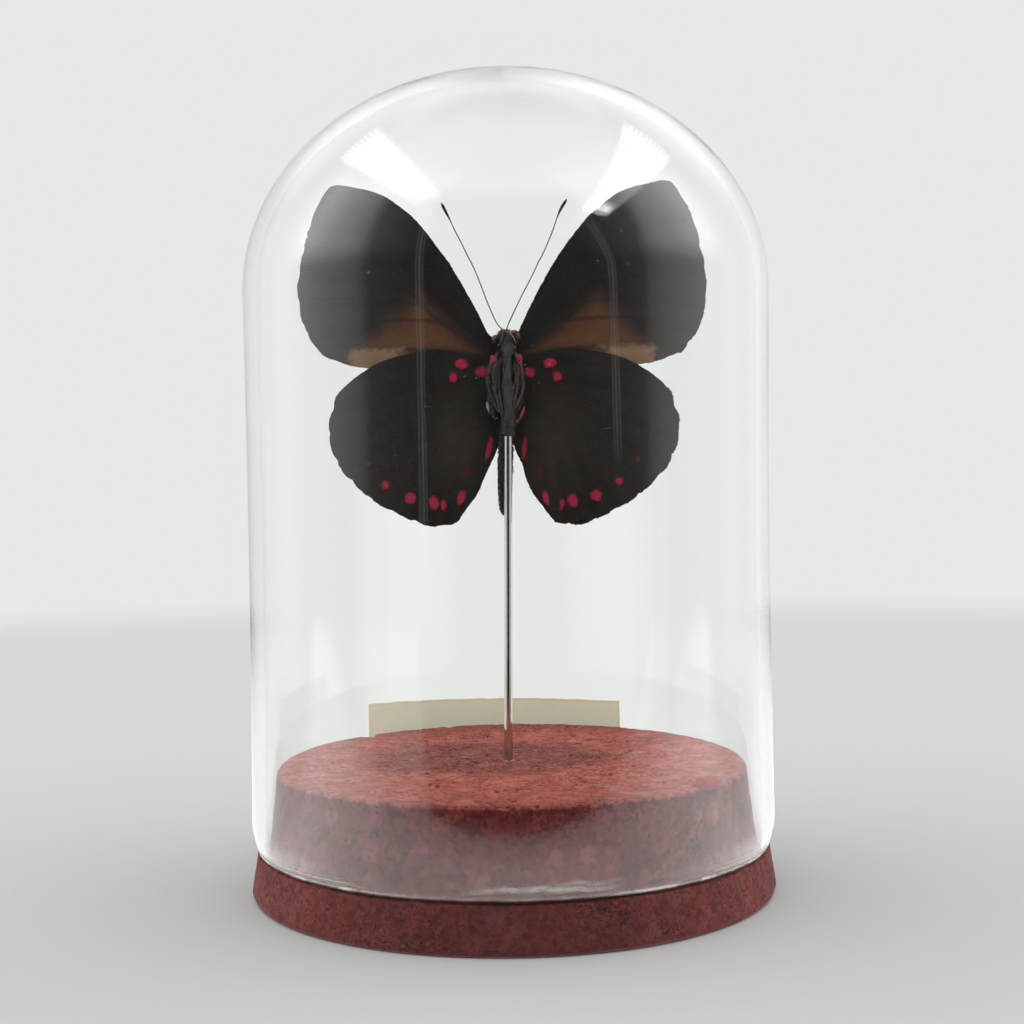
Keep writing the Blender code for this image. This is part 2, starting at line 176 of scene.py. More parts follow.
# Pale spots of the upper side: place and radius, in rows along the outer edge
UPPER_FORE_SPOTS = ((27.6, 103.4, 0.55), (28.9, 99.0, 0.6), (29.6, 94.6, 0.6), (29.5, 90.2, 0.6),
                    (28.6, 86.0, 0.55), (19.0, 101.0, 1.1), (21.4, 97.6, 1.0), (22.4, 93.6, 0.9))
UPPER_HIND_SPOTS = ((24.6, 74.2, 0.55), (25.0, 69.4, 0.6), (23.0, 65.0, 0.6), (19.2, 61.6, 0.6),
                    (15.0, 59.4, 0.6), (11.0, 58.4, 0.55), (8.0, 60.0, 0.5))

ANTENNA_LEFT = ((-0.55, 0.5, 85.2), (-0.75, 0.6, 85.7), (-1.51, 0.8, 86.7), (-2.62, 1.0, 89.3),
                (-4.84, 1.5, 95.1), (-7.79, 2.0, 101.4), (-9.8, 2.2, 105.65))
ANTENNA_RIGHT = ((0.1, 0.5, 85.2), (0.2, 0.6, 85.9), (1.63, 1.0, 89.2), (4.37, 1.5, 94.4),
                 (6.78, 1.9, 99.4), (8.53, 2.1, 103.9), (9.71, 2.2, 106.0))
ANTENNA_SHAFT = 0.085
ANTENNA_CLUB = 0.23

# Folded legs: points, the radius at the upper end, middle and lower end, and the material:
# 0 as the sheath, 1 brown-grey, 2 pinkish brown
LEGS = (
    (((-1.2, -0.2, 82.0), (-2.3, -0.6, 80.0), (-2.85, -0.5, 77.6), (-2.2, -0.9, 75.0), (-1.1, -1.7, 72.6)),
     (0.40, 0.56, 0.26), 1),
    (((-1.3, -0.7, 80.8), (-1.9, -1.0, 79.0), (-1.85, -1.2, 76.6), (-1.35, -1.6, 74.2), (-0.7, -1.9, 71.8)),
     (0.40, 0.52, 0.26), 1),
    (((-0.9, -0.8, 81.2), (-1.25, -1.1, 79.0), (-1.3, -1.45, 76.4), (-0.8, -1.85, 74.0), (-0.4, -2.0, 72.2)),
     (0.38, 0.34, 0.26), 0),
    (((-1.2, -0.9, 80.2), (-1.6, -1.0, 78.6), (-1.5, -1.2, 77.0), (-1.35, -1.2, 75.0)), (0.26, 0.24, 0.12), 1),
    (((1.3, -0.1, 82.0), (2.0, -0.6, 80.0), (2.25, -0.6, 78.0), (2.15, -0.8, 75.6), (1.0, -1.7, 73.2)),
     (0.38, 0.48, 0.26), 2),
    (((1.1, -0.7, 80.6), (1.55, -1.0, 79.0), (1.50, -1.2, 76.6), (1.15, -1.5, 74.8), (0.75, -1.85, 73.0)),
     (0.32, 0.42, 0.24), 1),
    (((0.9, -1.0, 80.0), (1.3, -1.3, 78.2), (1.05, -1.6, 76.8), (0.9, -1.7, 75.6)), (0.22, 0.24, 0.12), 1),
)
# Dried sheath over the folded legs: height, middle, half width, depth of its front
SHEATH = (
    (70.6, 0.12, 1.12, -2.05), (72.0, 0.08, 1.08, -2.15), (73.2, 0.0, 1.00, -2.2), (75.2, 0.05, 0.95, -2.1),
    (77.8, 0.08, 0.86, -1.9), (79.6, 0.05, 0.78, -1.7), (81.1, -0.02, 0.68, -1.45), (82.0, 0.12, 0.86, -1.35),
    (82.7, 0.28, 1.08, -1.25), (83.3, 0.18, 0.80, -1.15), (84.0, -0.02, 0.46, -1.05), (84.9, -0.13, 0.22, -0.75),
)
# Red and rosy tufts on the body: middle, half sizes, and whether it is the duller one
BODY_REDS = (((-2.1, -0.95, 80.95), (0.50, 0.3, 0.66), 0), ((2.01, -0.95, 80.95), (0.38, 0.3, 0.78), 0),
             ((2.35, -0.75, 77.6), (0.32, 0.3, 1.0), 1))
# Pink streak beside the lower right legs: points along it
PINK_STREAK = ((2.62, -0.45, 73.7), (2.35, -0.8, 72.9), (1.95, -1.15, 72.0), (1.35, -1.5, 70.9))
# Folded masses beside the sheath: middle and half sizes
FLANKS = (((-1.75, 0.0, 77.0), (1.25, 1.0, 4.3)), ((1.40, 0.0, 77.3), (1.05, 0.95, 4.1)))

# Yellow-brown tufts below the upper red patches: middle and half sizes
BROWN_TUFTS = (((-1.95, -0.6, 79.9), (0.45, 0.3, 0.5)), ((1.75, -0.75, 79.9), (0.35, 0.3, 0.5)),
               ((-0.3, -0.2, 85.3), (0.7, 0.5, 0.25)))

# Small pale slivers as painted glints on the body and the wings near it: place and size
PAINTED_GLINTS = ((-1.25, -1.3, 82.95, 0.10), (3.9, 1.6, 83.1, 0.07), (2.75, 0.0, 80.1, 0.16), (3.0, 0.2, 79.6, 0.08),
             (-4.9, 1.9, 78.3, 0.12), (-2.9, -0.4, 76.0, 0.07), (-2.6, -0.6, 72.6, 0.07), (-2.2, -0.9, 72.1, 0.09),
             (-1.9, -1.2, 71.8, 0.08), (-1.5, -1.6, 71.9, 0.10), (-0.9, -2.0, 71.3, 0.07), (1.3, -1.9, 71.2, 0.11),
             (1.6, -1.6, 71.6, 0.08), (1.5, -1.5, 74.4, 0.08), (2.2, -0.8, 74.2, 0.06), (6.6, 1.9, 80.2, 0.10),
             (4.1, 1.7, 76.9, 0.06), (4.9, 1.8, 77.4, 0.05), (2.0, -0.9, 82.3, 0.05), (-2.9, -0.2, 82.4, 0.05),
             (1.0, -1.9, 76.4, 0.06), (-0.4, -2.2, 80.8, 0.06), (0.6, -1.6, 81.6, 0.06), (-0.6, -2.1, 79.2, 0.05))

# Label on the back of the glass: bearings from the back, and heights
LABEL_ANGLES = (math.radians(-40.0), math.radians(29.3))
LABEL_SPAN = (11.6, 23.3)

# Whitish film on the rim of the glass, partly frosted glass and glue residue and partly painted highlight and
# reflection: bearings in degrees from the back, and heights
RIM_BAND = ((0, 360), (7.15, 8.8))
SMEAR_BAND = ((158, 190), (8.2, 11.6))

# Mirrored room: brightness by the bearing off the viewer. Backdrop: by the angle off its middle
ROOM_STOPS = ((0, 0.015), (30, 0.02), (45, 0.08), (60, 0.20), (64, 0.52), (72, 0.82), (85, 1.05),
              (100, 1.3), (110, 1.3), (122, 0.95), (140, 0.80), (180, 0.70))
BACKDROP_STOPS = ((0, 0.985), (3.0, 1.0), (4.3, 1.01), (5.2, 1.01), (6.0, 0.97), (6.9, 0.89), (7.8, 0.82),
                  (8.6, 0.80), (9.4, 0.785), (12, 0.78))
# Upright strips of light: bearings of the two lines and of the dimmer band between them, and levels
LEFT_STRIP = ((-37.2, -36.7), (-35.4, -35.0), (-37.0, -35.2), (-3.0, 40.0))
RIGHT_STRIP = ((46.5, 47.1), (48.0, 48.4), (46.8, 48.2), (0.0, 34.0))

# Camera: place, and its turns in radians
CAMERA_PLACE = (0.0, -0.250, 0.0629)
CAMERA_PITCH = 0.0217
CAMERA_ROLL = -0.0149
CAMERA_PAN = 0.0019


# Numbers worked out as whole arrays

def lattice_random(cells, seed):
    """A repeatable number from 0 to 1 for each whole-numbered cell, hashed from its three coordinates."""
    x, y, z = (cells[..., axis].astype(np.int64) for axis in range(3))
    mixed = (x * 374761393 + y * 668265263 + z * 1442695041 + seed * 974634777) & 0xFFFFFFFF
    mixed = ((mixed ^ (mixed >> 13)) * 1274126177) & 0xFFFFFFFF
    mixed = ((mixed ^ (mixed >> 15)) * 2246822519) & 0xFFFFFFFF
    return ((mixed ^ (mixed >> 16)) & 0xFFFFFF) / float(0x1000000)


def smooth_noise(points, size, seed):
    """Noise from 0 to 1: the eight random corners round a point, blended by the faded place between them."""
    place = np.asarray(points, float) / size
    low = np.floor(place)
    part = place - low
    part = part * part * (3 - 2 * part)
    total = 0.0
    for corner in product((0, 1), repeat=3):
        corner = np.array(corner)
        total = total + np.prod(np.where(corner, part, 1 - part), axis=-1) * lattice_random(low + corner, seed)
    return total


def grain_noise(points, size, seed):
    """Distance to the nearest and second nearest of one random point in each cell, and the nearest's number."""
    place = np.asarray(points, float) / size
    low = np.floor(place)
    nearest = np.full(place.shape[:-1], 9.0)
    second, number = nearest.copy(), nearest * 0
    for step in product((-1, 0, 1), repeat=3):
        cell = low + np.array(step)
        grain = cell + np.stack([lattice_random(cell, seed + axis) for axis in range(3)], -1)
        gap = np.linalg.norm(place - grain, axis=-1)
        nearer = gap < nearest
        second = np.where(nearer, nearest, np.minimum(second, gap))
        number = np.where(nearer, lattice_random(cell, seed + 3), number)
        nearest = np.where(nearer, gap, nearest)
    return nearest, second, number


def smooth_step(value, low, high):
    """0 below low, 1 above high, and 3t^2 - 2t^3 between them."""
    share = np.clip((value - low) / (high - low), 0, 1)
    return share * share * (3 - 2 * share)


def unit(vectors):
    """Each vector divided by its length."""
    return vectors / np.maximum(np.linalg.norm(vectors, axis=-1, keepdims=True), 1e-12)


def even_run(points, count):
    """Points spaced evenly along a run of points."""
    length = np.concatenate([[0], np.cumsum(np.linalg.norm(np.diff(points, axis=0), axis=1))])
    at = np.linspace(0, length[-1], count)
    return np.stack([np.interp(at, length, column) for column in points.T], -1)


def curve_through(points, count, closed=False):
    """Evenly spaced points on a Catmull-Rom curve through the given points."""
    points = np.asarray(points, float)
    if closed:
        b = points
        a, c, d = (np.roll(points, shift, axis=0) for shift in (1, -1, -2))
    else:
        held = np.concatenate([[2 * points[0] - points[1]], points, [2 * points[-1] - points[-2]]])
        a, b, c, d = held[:-3], held[1:-2], held[2:-1], held[3:]
    a, b, c, d = (p[:, None, :] for p in (a, b, c, d))
    t = np.linspace(0, 1, 24, endpoint=False)[None, :, None]
    run = 0.5 * (2 * b + (c - a) * t + (2 * a - 5 * b + 4 * c - d) * t ** 2 + (3 * b - a - 3 * c + d) * t ** 3)
    run = np.concatenate([run.reshape(-1, points.shape[1]), points[:1] if closed else points[-1:]])
    return even_run(run, count + 1)[:-1] if closed else even_run(run, count)


# Surfaces

class Surface:
    """Points in millimetres, the faces between them, a material number and named values at the points."""

    def __init__(self, points, quads, triangles, material=0, values=None):
        self.points = points
        self.quads = quads
        self.triangles = triangles
        self.material = material
        self.values = values or {}
        corners = np.concatenate([quads[:, :3], quads[:, [0, 2, 3]], triangles])
        a, b, c = (points[corners[:, i]] - points.mean(axis=0) for i in range(3))
        if np.einsum("ij,ij->", a, np.cross(b, c)) < 0:
            self.quads = quads[:, ::-1]
            self.triangles = triangles[:, ::-1]


def grid_quads(rows, columns, looped=False):
    """Corner numbers of the quads of a grid whose last column joins its first, and its rows too if looped."""
    row = np.arange(rows if looped else rows - 1)[:, None]
    after_row = (row + 1) % rows
    column = np.arange(columns)[None, :]
    after = (column + 1) % columns
    quads = [row * columns + column, row * columns + after,
             after_row * columns + after, after_row * columns + column]
    return np.stack(quads, -1).reshape(-1, 4)


def ringed(rings, material=0, looped=False, **values):
    """A closed surface through rings of points, shaped (rings, columns, 3), or with a count of tubes before that.

    The first and last rings are closed by fans to their mean points, or joined to each other if looped.
    """
    rings = rings if rings.ndim == 4 else rings[None]
    count, rows, columns = rings.shape[:3]
    quads = grid_quads(rows, columns, looped)
    points = rings.reshape(count, -1, 3)
    fans = np.zeros((0, 3), int)
    if not looped:
        column = np.arange(columns)
        after = np.roll(column, -1)
        start, end, last = rows * columns, rows * columns + 1, (rows - 1) * columns
        fans = np.concatenate([np.stack([np.full(columns, start), after, column], -1),
                               np.stack([np.full(columns, end), last + column, last + after], -1)])
        points = np.concatenate([points, rings[:, [0, -1]].mean(axis=2)], axis=1)
    shift = (np.arange(count) * points.shape[1])[:, None, None]
    flat = {}
    for name, value in values.items():
        value = np.broadcast_to(value, rings.shape[:3])
        ends = value[:, [0, -1]].mean(axis=2) if not looped else np.zeros((count, 0))
        flat[name] = np.concatenate([value.reshape(count, -1), ends], axis=1).ravel()
    return Surface(points.reshape(-1, 3), (quads + shift).reshape(-1, 4), (fans + shift).reshape(-1, 3),
                   material, flat)


def tubes(paths, radii, sides, material=0, flatten=None, **values):
    """Closed tubes along paths, shaped (tubes, steps, 3): round each step a ring of the step's radius.

    A ring's two directions are the path's direction crossed with the axis that it runs along least, and
    the cross of those two. flatten is a second radius, along the second direction.
    """
    paths = np.asarray(paths, float)
    paths = paths if paths.ndim == 3 else paths[None]
    radii = np.broadcast_to(radii, paths.shape[:2])
    second = radii if flatten is None else np.broadcast_to(flatten, paths.shape[:2])
    ahead = unit(np.gradient(paths, axis=1))
    guide = np.eye(3)[np.argmin(np.abs(ahead.mean(axis=1)), axis=-1)][:, None, :]
    aside = unit(np.cross(ahead, guide))
    over = np.cross(aside, ahead)
    angle = np.linspace(0, 2 * np.pi, sides, endpoint=False)[:, None]
    rings = (paths[:, :, None] + radii[..., None, None] * np.cos(angle) * aside[:, :, None]
             + second[..., None, None] * np.sin(angle) * over[:, :, None])
    return ringed(rings, material, **{name: np.asarray(value)[..., None] for name, value in values.items()})


def turned(profile, steps, material=0, **values):
    """A profile of (radius, height) points turned about the Z axis."""
    profile = np.asarray(profile, float)
    angle = np.linspace(0, 2 * np.pi, steps, endpoint=False)
    rings = np.stack([profile[:, :1] * np.sin(angle), profile[:, :1] * np.cos(angle),
                      np.broadcast_to(profile[:, 1:], (len(profile), steps))], -1)
    return ringed(rings, material, **values)


def ellipsoid(centre, size, rows, columns, material=0, rough=0.0, rough_size=1.0, seed=0, **values):
    """An ellipsoid whose radius is scaled by 1 plus rough times a noise from -1 to 1."""
    polar = np.linspace(0.04, np.pi - 0.04, rows)[:, None]
    angle = np.linspace(0, 2 * np.pi, columns, endpoint=False)[None, :]
    ball = np.stack([np.sin(polar) * np.cos(angle), np.sin(polar) * np.sin(angle),
                     np.broadcast_to(np.cos(polar), (rows, columns))], -1)
    place = ball * np.array(size)
    if rough:
        place = place * (1 + rough * (2 * smooth_noise(place + 50, rough_size, seed) - 1))[..., None]
    return ringed(place + np.array(centre), material, **values)


def arc(centre, size, start, end, steps):
    """Points on an ellipse, as (radius, height), from one angle in degrees to another."""
    angle = np.radians(np.linspace(start, end, steps + 1))
    return np.stack([centre[0] + size[0] * np.cos(angle), centre[1] + size[1] * np.sin(angle)], -1)


def make_piece(name, surfaces, materials, replaced=(), sharp=50.0):
    """One object of several surfaces, riding on the root, smooth except across its sharp edges."""
    starts = np.cumsum([0] + [len(s.points) for s in surfaces])
    points = np.concatenate([s.points for s in surfaces]) * MM
    faces, numbers = [], []
    for surface, start in zip(surfaces, starts):
        for corners in (surface.quads, surface.triangles):
            faces += (corners + start).tolist()
            numbers += [surface.material] * len(corners)
    mesh = bpy.data.meshes.new(name)
    mesh.from_pydata(points, [], faces)
    mesh.polygons.foreach_set("material_index", numbers)
    for key in sorted({key for s in surfaces for key in s.values}):
        layer = mesh.attributes.new(key, "FLOAT", "POINT")
        layer.data.foreach_set("value", np.concatenate(
            [s.values.get(key, np.zeros(len(s.points))) for s in surfaces]).astype(np.float32))
    for material in materials:
        mesh.materials.append(material)
    mesh.shade_smooth()
    mesh.set_sharp_from_angle(angle=math.radians(sharp))
    mesh.update()
    piece = bpy.data.objects.new(name, mesh)
    bpy.context.scene.collection.objects.link(piece)
    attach(piece, "root")
    if replaced:
        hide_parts(*replaced)
    return piece


# Materials

class Wiring:
    """Adds nodes to a node tree; each input takes a value or another node's output."""

    def __init__(self, tree):
        self.tree = tree
        tree.nodes.clear()

    def put(self, kind, inputs=(), output=0, **settings):
        """A node of the kind with its inputs and settings; returns one of its outputs."""
        made = self.tree.nodes.new("ShaderNode" + kind)
        for key, value in settings.items():
            setattr(made, key, value)
        for key, value in dict(inputs).items():
            if isinstance(value, bpy.types.NodeSocket):
                self.tree.links.new(value, made.inputs[key])
            else:
                made.inputs[key].default_value = value
        return made.outputs[output] if made.outputs else made

    def sum(self, kind, a, b=0.0):
        """One arithmetic node, named by its operation."""
        return self.put("Math", {0: a, 1: b}, operation=kind)

    def plus(self, a, b):
        """a + b"""
        return self.sum("ADD", a, b)

    def less(self, a, b):
        """a - b"""
        return self.sum("SUBTRACT", a, b)

    def times(self, *values):
        """The product of all the values."""
        product_so_far = values[0]
        for value in values[1:]:
            product_so_far = self.sum("MULTIPLY", product_so_far, value)
        return product_so_far

    def ramp(self, value, stops, span):
        """A grey that runs through (place, brightness) stops as the value goes from 0 to the span."""
        made = self.put("ValToRGB", {"Fac": self.sum("DIVIDE", value, span)})
        elements = made.node.color_ramp.elements
        for at, _ in stops[2:]:
            elements.new(at / span)
        for element, (at, bright) in zip(elements, stops):
            element.position = at / span
            element.color = (bright, bright, bright, 1.0)
        return made

    def mix(self, share, a, b, blend="MIX"):
        """Two colours blended by a share."""
        a, b = (rgba(c) if isinstance(c, (tuple, list)) else c for c in (a, b))
        return self.put("Mix", {0: share, 6: a, 7: b}, 2, data_type="RGBA", blend_type=blend)

    def step(self, value, low, high, start=0.0, end=1.0):
        """start below low, end above high, and an S-shaped run between them."""
        return self.put("MapRange", {"Value": value, "From Min": low, "From Max": high, "To Min": start,
                                     "To Max": end}, interpolation_type="SMOOTHSTEP")

    def place(self, stretch=(1, 1, 1)):
        """Object coordinates in millimetres, stretched along each axis."""
        seen = self.put("TexCoord", output=3)
        return self.put("Mapping", {"Vector": seen, "Scale": tuple(s / MM for s in stretch)})

    def noise(self, place, size, detail=3.0, rough=0.55):
        """Soft noise from 0 to 1 with features of the given size in millimetres."""
        return self.put("TexNoise", {"Vector": place, "Scale": 1 / size, "Detail": detail, "Roughness": rough})

    def grains(self, place, size, output=0):
        """Cells of the given size in millimetres: the distance to each one's middle, or its colour as output 1."""
        return self.put("TexVoronoi", {"Vector": place, "Scale": 1 / size}, output)

    def value(self, name):
        """The value of that name at the piece's points."""
        return self.put("Attribute", output=2, attribute_name=name)

    def bump(self, height, distance):
        """A normal bent by a height of the given depth in millimetres."""
        return self.put("Bump", {"Height": height, "Distance": distance * MM, "Strength": 1.0})


def rgba(colour):
    """The colour with full cover."""
    return (*tuple(colour)[:3], 1.0)


def scaled(colour, share):
    """The colour with each channel times the share."""
    return tuple(channel * share for channel in tuple(colour)[:3])


def new_material(name):
    """An empty material and the wiring of its nodes."""
    material = bpy.data.materials.new(name)
    material.use_nodes = True
    return material, Wiring(material.node_tree)


def finish_material(wiring, inputs):
    """Ends a material in a Principled shader with the given inputs."""
    inputs = {key: rgba(value) if key.endswith(("Color", "Tint")) and isinstance(value, (tuple, list)) else value
              for key, value in inputs.items()}
    shader = wiring.put("BsdfPrincipled", inputs)
    wiring.put("OutputMaterial", {"Surface": shader})


def glass_material(settings):
    """Clear soft glass with faint upright draw lines and a few blown-in ripples."""
    material, w = new_material("clear_blown_glass")
    lines = w.noise(w.place((1, 1, 0.03)), 5.0, 2.0)
    ripples = w.noise(w.place((1, 1, 0.6)), 14.0, 1.0)
    normal = w.bump(w.plus(lines, w.times(ripples, 1.5)), 0.012)
    finish_material(w, {"Base Color": tuple(settings.tint), "Roughness": 0.0, "IOR": settings.ior,
                        "Transmission Weight": 1.0, "Normal": normal})
    return material


def cork_material(settings):
    """Dyed pressed cork: soft crumbs of near shades, fine dark pits in bands, a few pale flecks, and painted shade on
    its sides and foot, with painted side light towards the foot's left and right.
    """
    material, w = new_material("dyed_cork")
    place = w.place()
    x, y, up = w.put("SeparateXYZ", {"Vector": place}).node.outputs
    stray = w.put("TexNoise", {"Vector": place, "Scale": 0.8, "Detail": 4.0, "Roughness": 0.65}, 1)
    shift = w.put("VectorMath", {0: stray, 1: (1.6, 1.6, 1.6)}, operation="MULTIPLY")
    warped = w.put("VectorMath", {0: place, 1: shift},
                   operation="ADD")
    shade = w.put("SeparateColor", {"Color": w.grains(warped, 1.5, 1)})
    fine = w.put("SeparateColor", {"Color": w.grains(warped, 0.55, 1)}, 1)
    large = w.put("SeparateColor", {"Color": w.grains(warped, 3.4, 1)}, 2)
    dye = tuple(settings.dye)
    colour = w.mix(shade, scaled(dye, 0.66), scaled(dye, 1.28))
    colour = w.mix(w.step(w.noise(place, 0.55, 4.0, 0.7), 0.38, 0.58, 0.6, 0.0), colour, scaled(dye, 0.45))
    colour = w.mix(w.step(w.noise(place, 10.0, 2.0), 0.4, 0.7, 0.0, 0.45), colour, tuple(settings.warm))
    blobs = w.times(w.step(large, 0.62, 0.74, 0.0, 0.62), w.step(w.grains(warped, 3.4), 0.55, 0.25))
    colour = w.mix(blobs, colour, tuple(settings.fleck))
    colour = w.mix(w.step(fine, 0.78, 0.95, 0.0, 0.35), colour, tuple(settings.fleck))
    colour = w.mix(w.step(fine, 0.26, 0.10, 0.0, 0.6), colour, scaled(dye, 0.35))
    across, along = (w.sum("DIVIDE", w.less(axis, middle), reach)
                     for axis, middle, reach in zip((x, y), DARK_MIDDLE, DARK_REACH))
    off = w.plus(w.sum("POWER", across, 2.0), w.sum("POWER", along, 2.0))
    middle = w.step(w.plus(off, w.noise(place, 6.0, 3.0)), 2.0, 0.9)
    middle = w.times(middle, w.step(up, 17.5, 18.5))
    colour = w.mix(w.times(middle, 0.62), colour, w.mix(1.0, colour, (0.36, 0.45, 0.51), "MULTIPLY"))
    band = w.sum("MAXIMUM", middle, w.step(w.noise(w.place((0.4, 1, 1)), 7.0, 2.0), 0.46, 0.60, 0.25, 1.0))
    specks = w.times(w.step(w.noise(w.place((0.7, 1, 1)), 0.40, 3.0, 0.6), 0.56, 0.63, 0.0, 0.92), band)
    colour = w.mix(specks, colour, scaled(dye, 0.13))
    colour = w.mix(w.step(w.value("gap"), 0.25, 0.9, 0.0, 0.8), colour, tuple(settings.pit))
    flecks = w.times(w.step(w.noise(place, 0.34, 1.0), 0.68, 0.74, 0.0, 0.8), band)
    colour = w.mix(flecks, colour, (0.72, 0.44, 0.38))
    colour = w.mix(w.value("knob"), colour, tuple(settings.knob_colour))
    # Painted shade on the sides: the plug's side, and the foot still darker, are multiplied down below the lit top;
    # painted side light lightens the foot towards its left and right
    around = w.plus(up, w.times(shade, 0.2))
    painted_side_light = w.step(w.sum("ABSOLUTE", x), 8.0, 33.0, 0.92, 1.5)
    foot = w.mix(1.0, (0.186, 0.163, 0.199), w.put("CombineColor", {0: painted_side_light, 1: painted_side_light, 2: painted_side_light}), "MULTIPLY")
    plug = w.mix(w.step(w.noise(place, 5.0, 2.0), 0.36, 0.64), (0.48, 0.385, 0.47), (0.60, 0.47, 0.56))
    plug = w.mix(blobs, plug, w.mix(1.0, plug, (1.45, 1.4, 1.4), "MULTIPLY"))
    sides = w.mix(w.step(around, 7.0, 7.5), foot, plug)
    sides = w.mix(1.0, colour, sides, "MULTIPLY")
    colour = w.mix(w.step(around, CORK_TOP - 0.6, CORK_TOP - 0.2), sides, colour)
    height = w.plus(w.noise(place, 0.55, 4.0), w.times(w.noise(place, 0.16, 2.0), 0.3))
    height = w.less(height, specks)
    finish_material(w, {"Base Color": colour, "Roughness": 0.88, "Specular IOR Level": 0.25,
                        "Normal": w.bump(height, 0.14)})
    return material


def wing_material(name, settings, upper=False):
    """Scaled wing membrane: dark scales in rows, ribs a little paler, markings from the values at the points.

    The fields in the point values are distances to each marking's edge, so noise in them frays the edge.
    """
    material, w = new_material(name)
    place = w.place()
    fray = w.times(w.less(w.noise(place, 0.24, 3.0), 0.5), 0.42)
    lump = w.times(w.less(w.noise(place, 0.75, 1.0), 0.5), 0.62)
    dark = tuple(settings.upper_colour if upper else settings.scale_colour)
    colour = w.mix(w.noise(place, 3.2, 4.0), scaled(dark, 0.75), scaled(dark, 1.25))
    streak = w.step(w.value("fold"), 0.35, 1.0, 0.0, 0.35)
    colour = w.mix(streak, colour, scaled(settings.patch_colour, 0.24 if not upper else 0.10))
    glow = w.times(w.value("glow"), w.step(w.noise(place, 2.6, 4.0), 0.15, 0.65, 0.45, 1.0))
    colour = w.mix(glow, colour, (0.048, 0.0385, 0.0290) if not upper else scaled(dark, 1.3))
    rib = w.step(w.value("vein"), 0.16, 0.03)
    if upper:
        spot = w.step(w.plus(w.value("spot"), fray), -0.1, 0.15)
        colour = w.mix(spot, colour, tuple(settings.upper_spot_colour))
    else:
        soft = w.times(w.less(w.noise(place, 1.3, 4.0), 0.5), 1.5)
        field = w.step(w.plus(w.value("patch"), soft), -1.6, 3.0)
        brown = w.mix(w.noise(w.place((1, 1, 2.5)), 2.2, 3.0), scaled(settings.patch_colour, 0.72),
                      scaled(settings.patch_colour, 1.22))
        brown = w.mix(w.step(w.value("vein"), 0.55, 0.10, 0.0, 0.6), brown, scaled(dark, 1.4))
        colour = w.mix(field, colour, brown)
        edge = w.times(w.less(w.noise(place, 0.9, 4.0), 0.5), 1.5)
        tan = w.step(w.plus(w.value("tan"), edge), -0.30, 0.75, 0.0, 0.85)
        pale = w.mix(w.noise(w.place((1, 1, 3)), 1.6, 3.0),
                     scaled(settings.tan_colour, 0.72), tuple(settings.tan_colour))
        colour = w.mix(tan, colour, pale)
        rim = w.plus(w.value("spot"), w.plus(fray, lump))
        red = w.step(rim, -0.16, 0.20)
        purple = w.mix(w.step(w.noise(place, 1.5, 1.0), 0.35, 0.65), tuple(settings.spot_colour),
                       (settings.spot_colour[0] * 0.72, settings.spot_colour[1] * 1.1, settings.spot_colour[2] * 1.45))
        shade = w.mix(w.noise(place, 0.35, 2.0), scaled(settings.spot_colour, 0.75), purple)
        shade = w.mix(w.step(rim, 0.45, 0.0, 0.0, 0.55), shade, scaled(settings.spot_colour, 0.45))
        faded = w.mix(w.value("faint"), shade, scaled(settings.spot_colour, 0.22))
        colour = w.mix(red, colour, faded)
    colour = w.mix(w.times(rib, 0.03), colour, scaled(dark, 2.0))
    rubbed = w.step(w.plus(w.value("rubbed"), fray), -0.15, 0.25, 0.0, 0.7)
    colour = w.mix(rubbed, colour, (0.24, 0.22, 0.19))
    specks = w.step(w.noise(place, 0.22, 1.0), 0.76, 0.80, 0.0, 0.4)
    colour = w.mix(specks, colour, (0.12, 0.11, 0.09))
    rows = w.plus(w.grains(place, 0.12), w.times(w.noise(place, 0.5, 3.0), 0.8))
    finish_material(w, {"Base Color": colour, "Roughness": w.step(w.noise(place, 0.4), 0.3, 0.7, 0.62, 0.86),
                        "Specular IOR Level": 0.3, "Normal": w.bump(rows, 0.02)})
    return material


def body_material(name, colour, size, roughness, paler=1.7, relief=0.03, specular=0.4):
    """Horny or waxy body skin: a mottled colour, fine wrinkles, and pale dust in places."""
    material, w = new_material(name)
    place = w.place()
    shade = w.mix(w.noise(place, size, 5.0, 0.6), scaled(colour, 0.5), scaled(colour, paler))
    dust = w.step(w.noise(place, 0.16, 2.0), 0.66, 0.74, 0.0, 0.5)
    shade = w.mix(dust, shade, scaled(colour, 3.2))
    finish_material(w, {"Base Color": shade, "Roughness": roughness, "Specular IOR Level": specular,
                        "Normal": w.bump(w.noise(place, size * 0.4, 5.0), relief)})
    return material


def eye_material(settings):
    """A dark domed eye with a painted reddish highlight on its upper side, where its points' values say, and a fine net
    of facets.
    """
    material, w = new_material("faceted_eye")
    place = w.place()
    tone = w.mix(w.noise(place, 0.5, 3.0), scaled(settings.eye_colour, 0.5), scaled(settings.eye_colour, 1.3))
    # Painted reddish highlight, where the points' values say
    tone = w.mix(w.value("ruddy"), tone, (0.26, 0.040, 0.040))
    finish_material(w, {"Base Color": tone, "Roughness": 0.34, "Normal": w.bump(w.grains(place, 0.09), 0.015)})
    return material


def steel_material(settings):
    """Drawn steel wire: long fine scratches in its gloss, and a few dull spots."""
    material, w = new_material("polished_steel")
    drawn = w.noise(w.place((1, 1, 0.02)), 0.12, 3.0)
    dull = w.noise(w.place(), 2.4, 3.0)
    tone = w.mix(dull, scaled(settings.steel_colour, 0.86), scaled(settings.steel_colour, 1.05))
    finish_material(w, {"Base Color": tone, "Metallic": 1.0,
                        "Roughness": w.step(w.plus(w.times(drawn, 0.4), dull), 0.4, 1.0, 0.03, 0.08),
                        "Normal": w.bump(drawn, 0.004)})
    return material


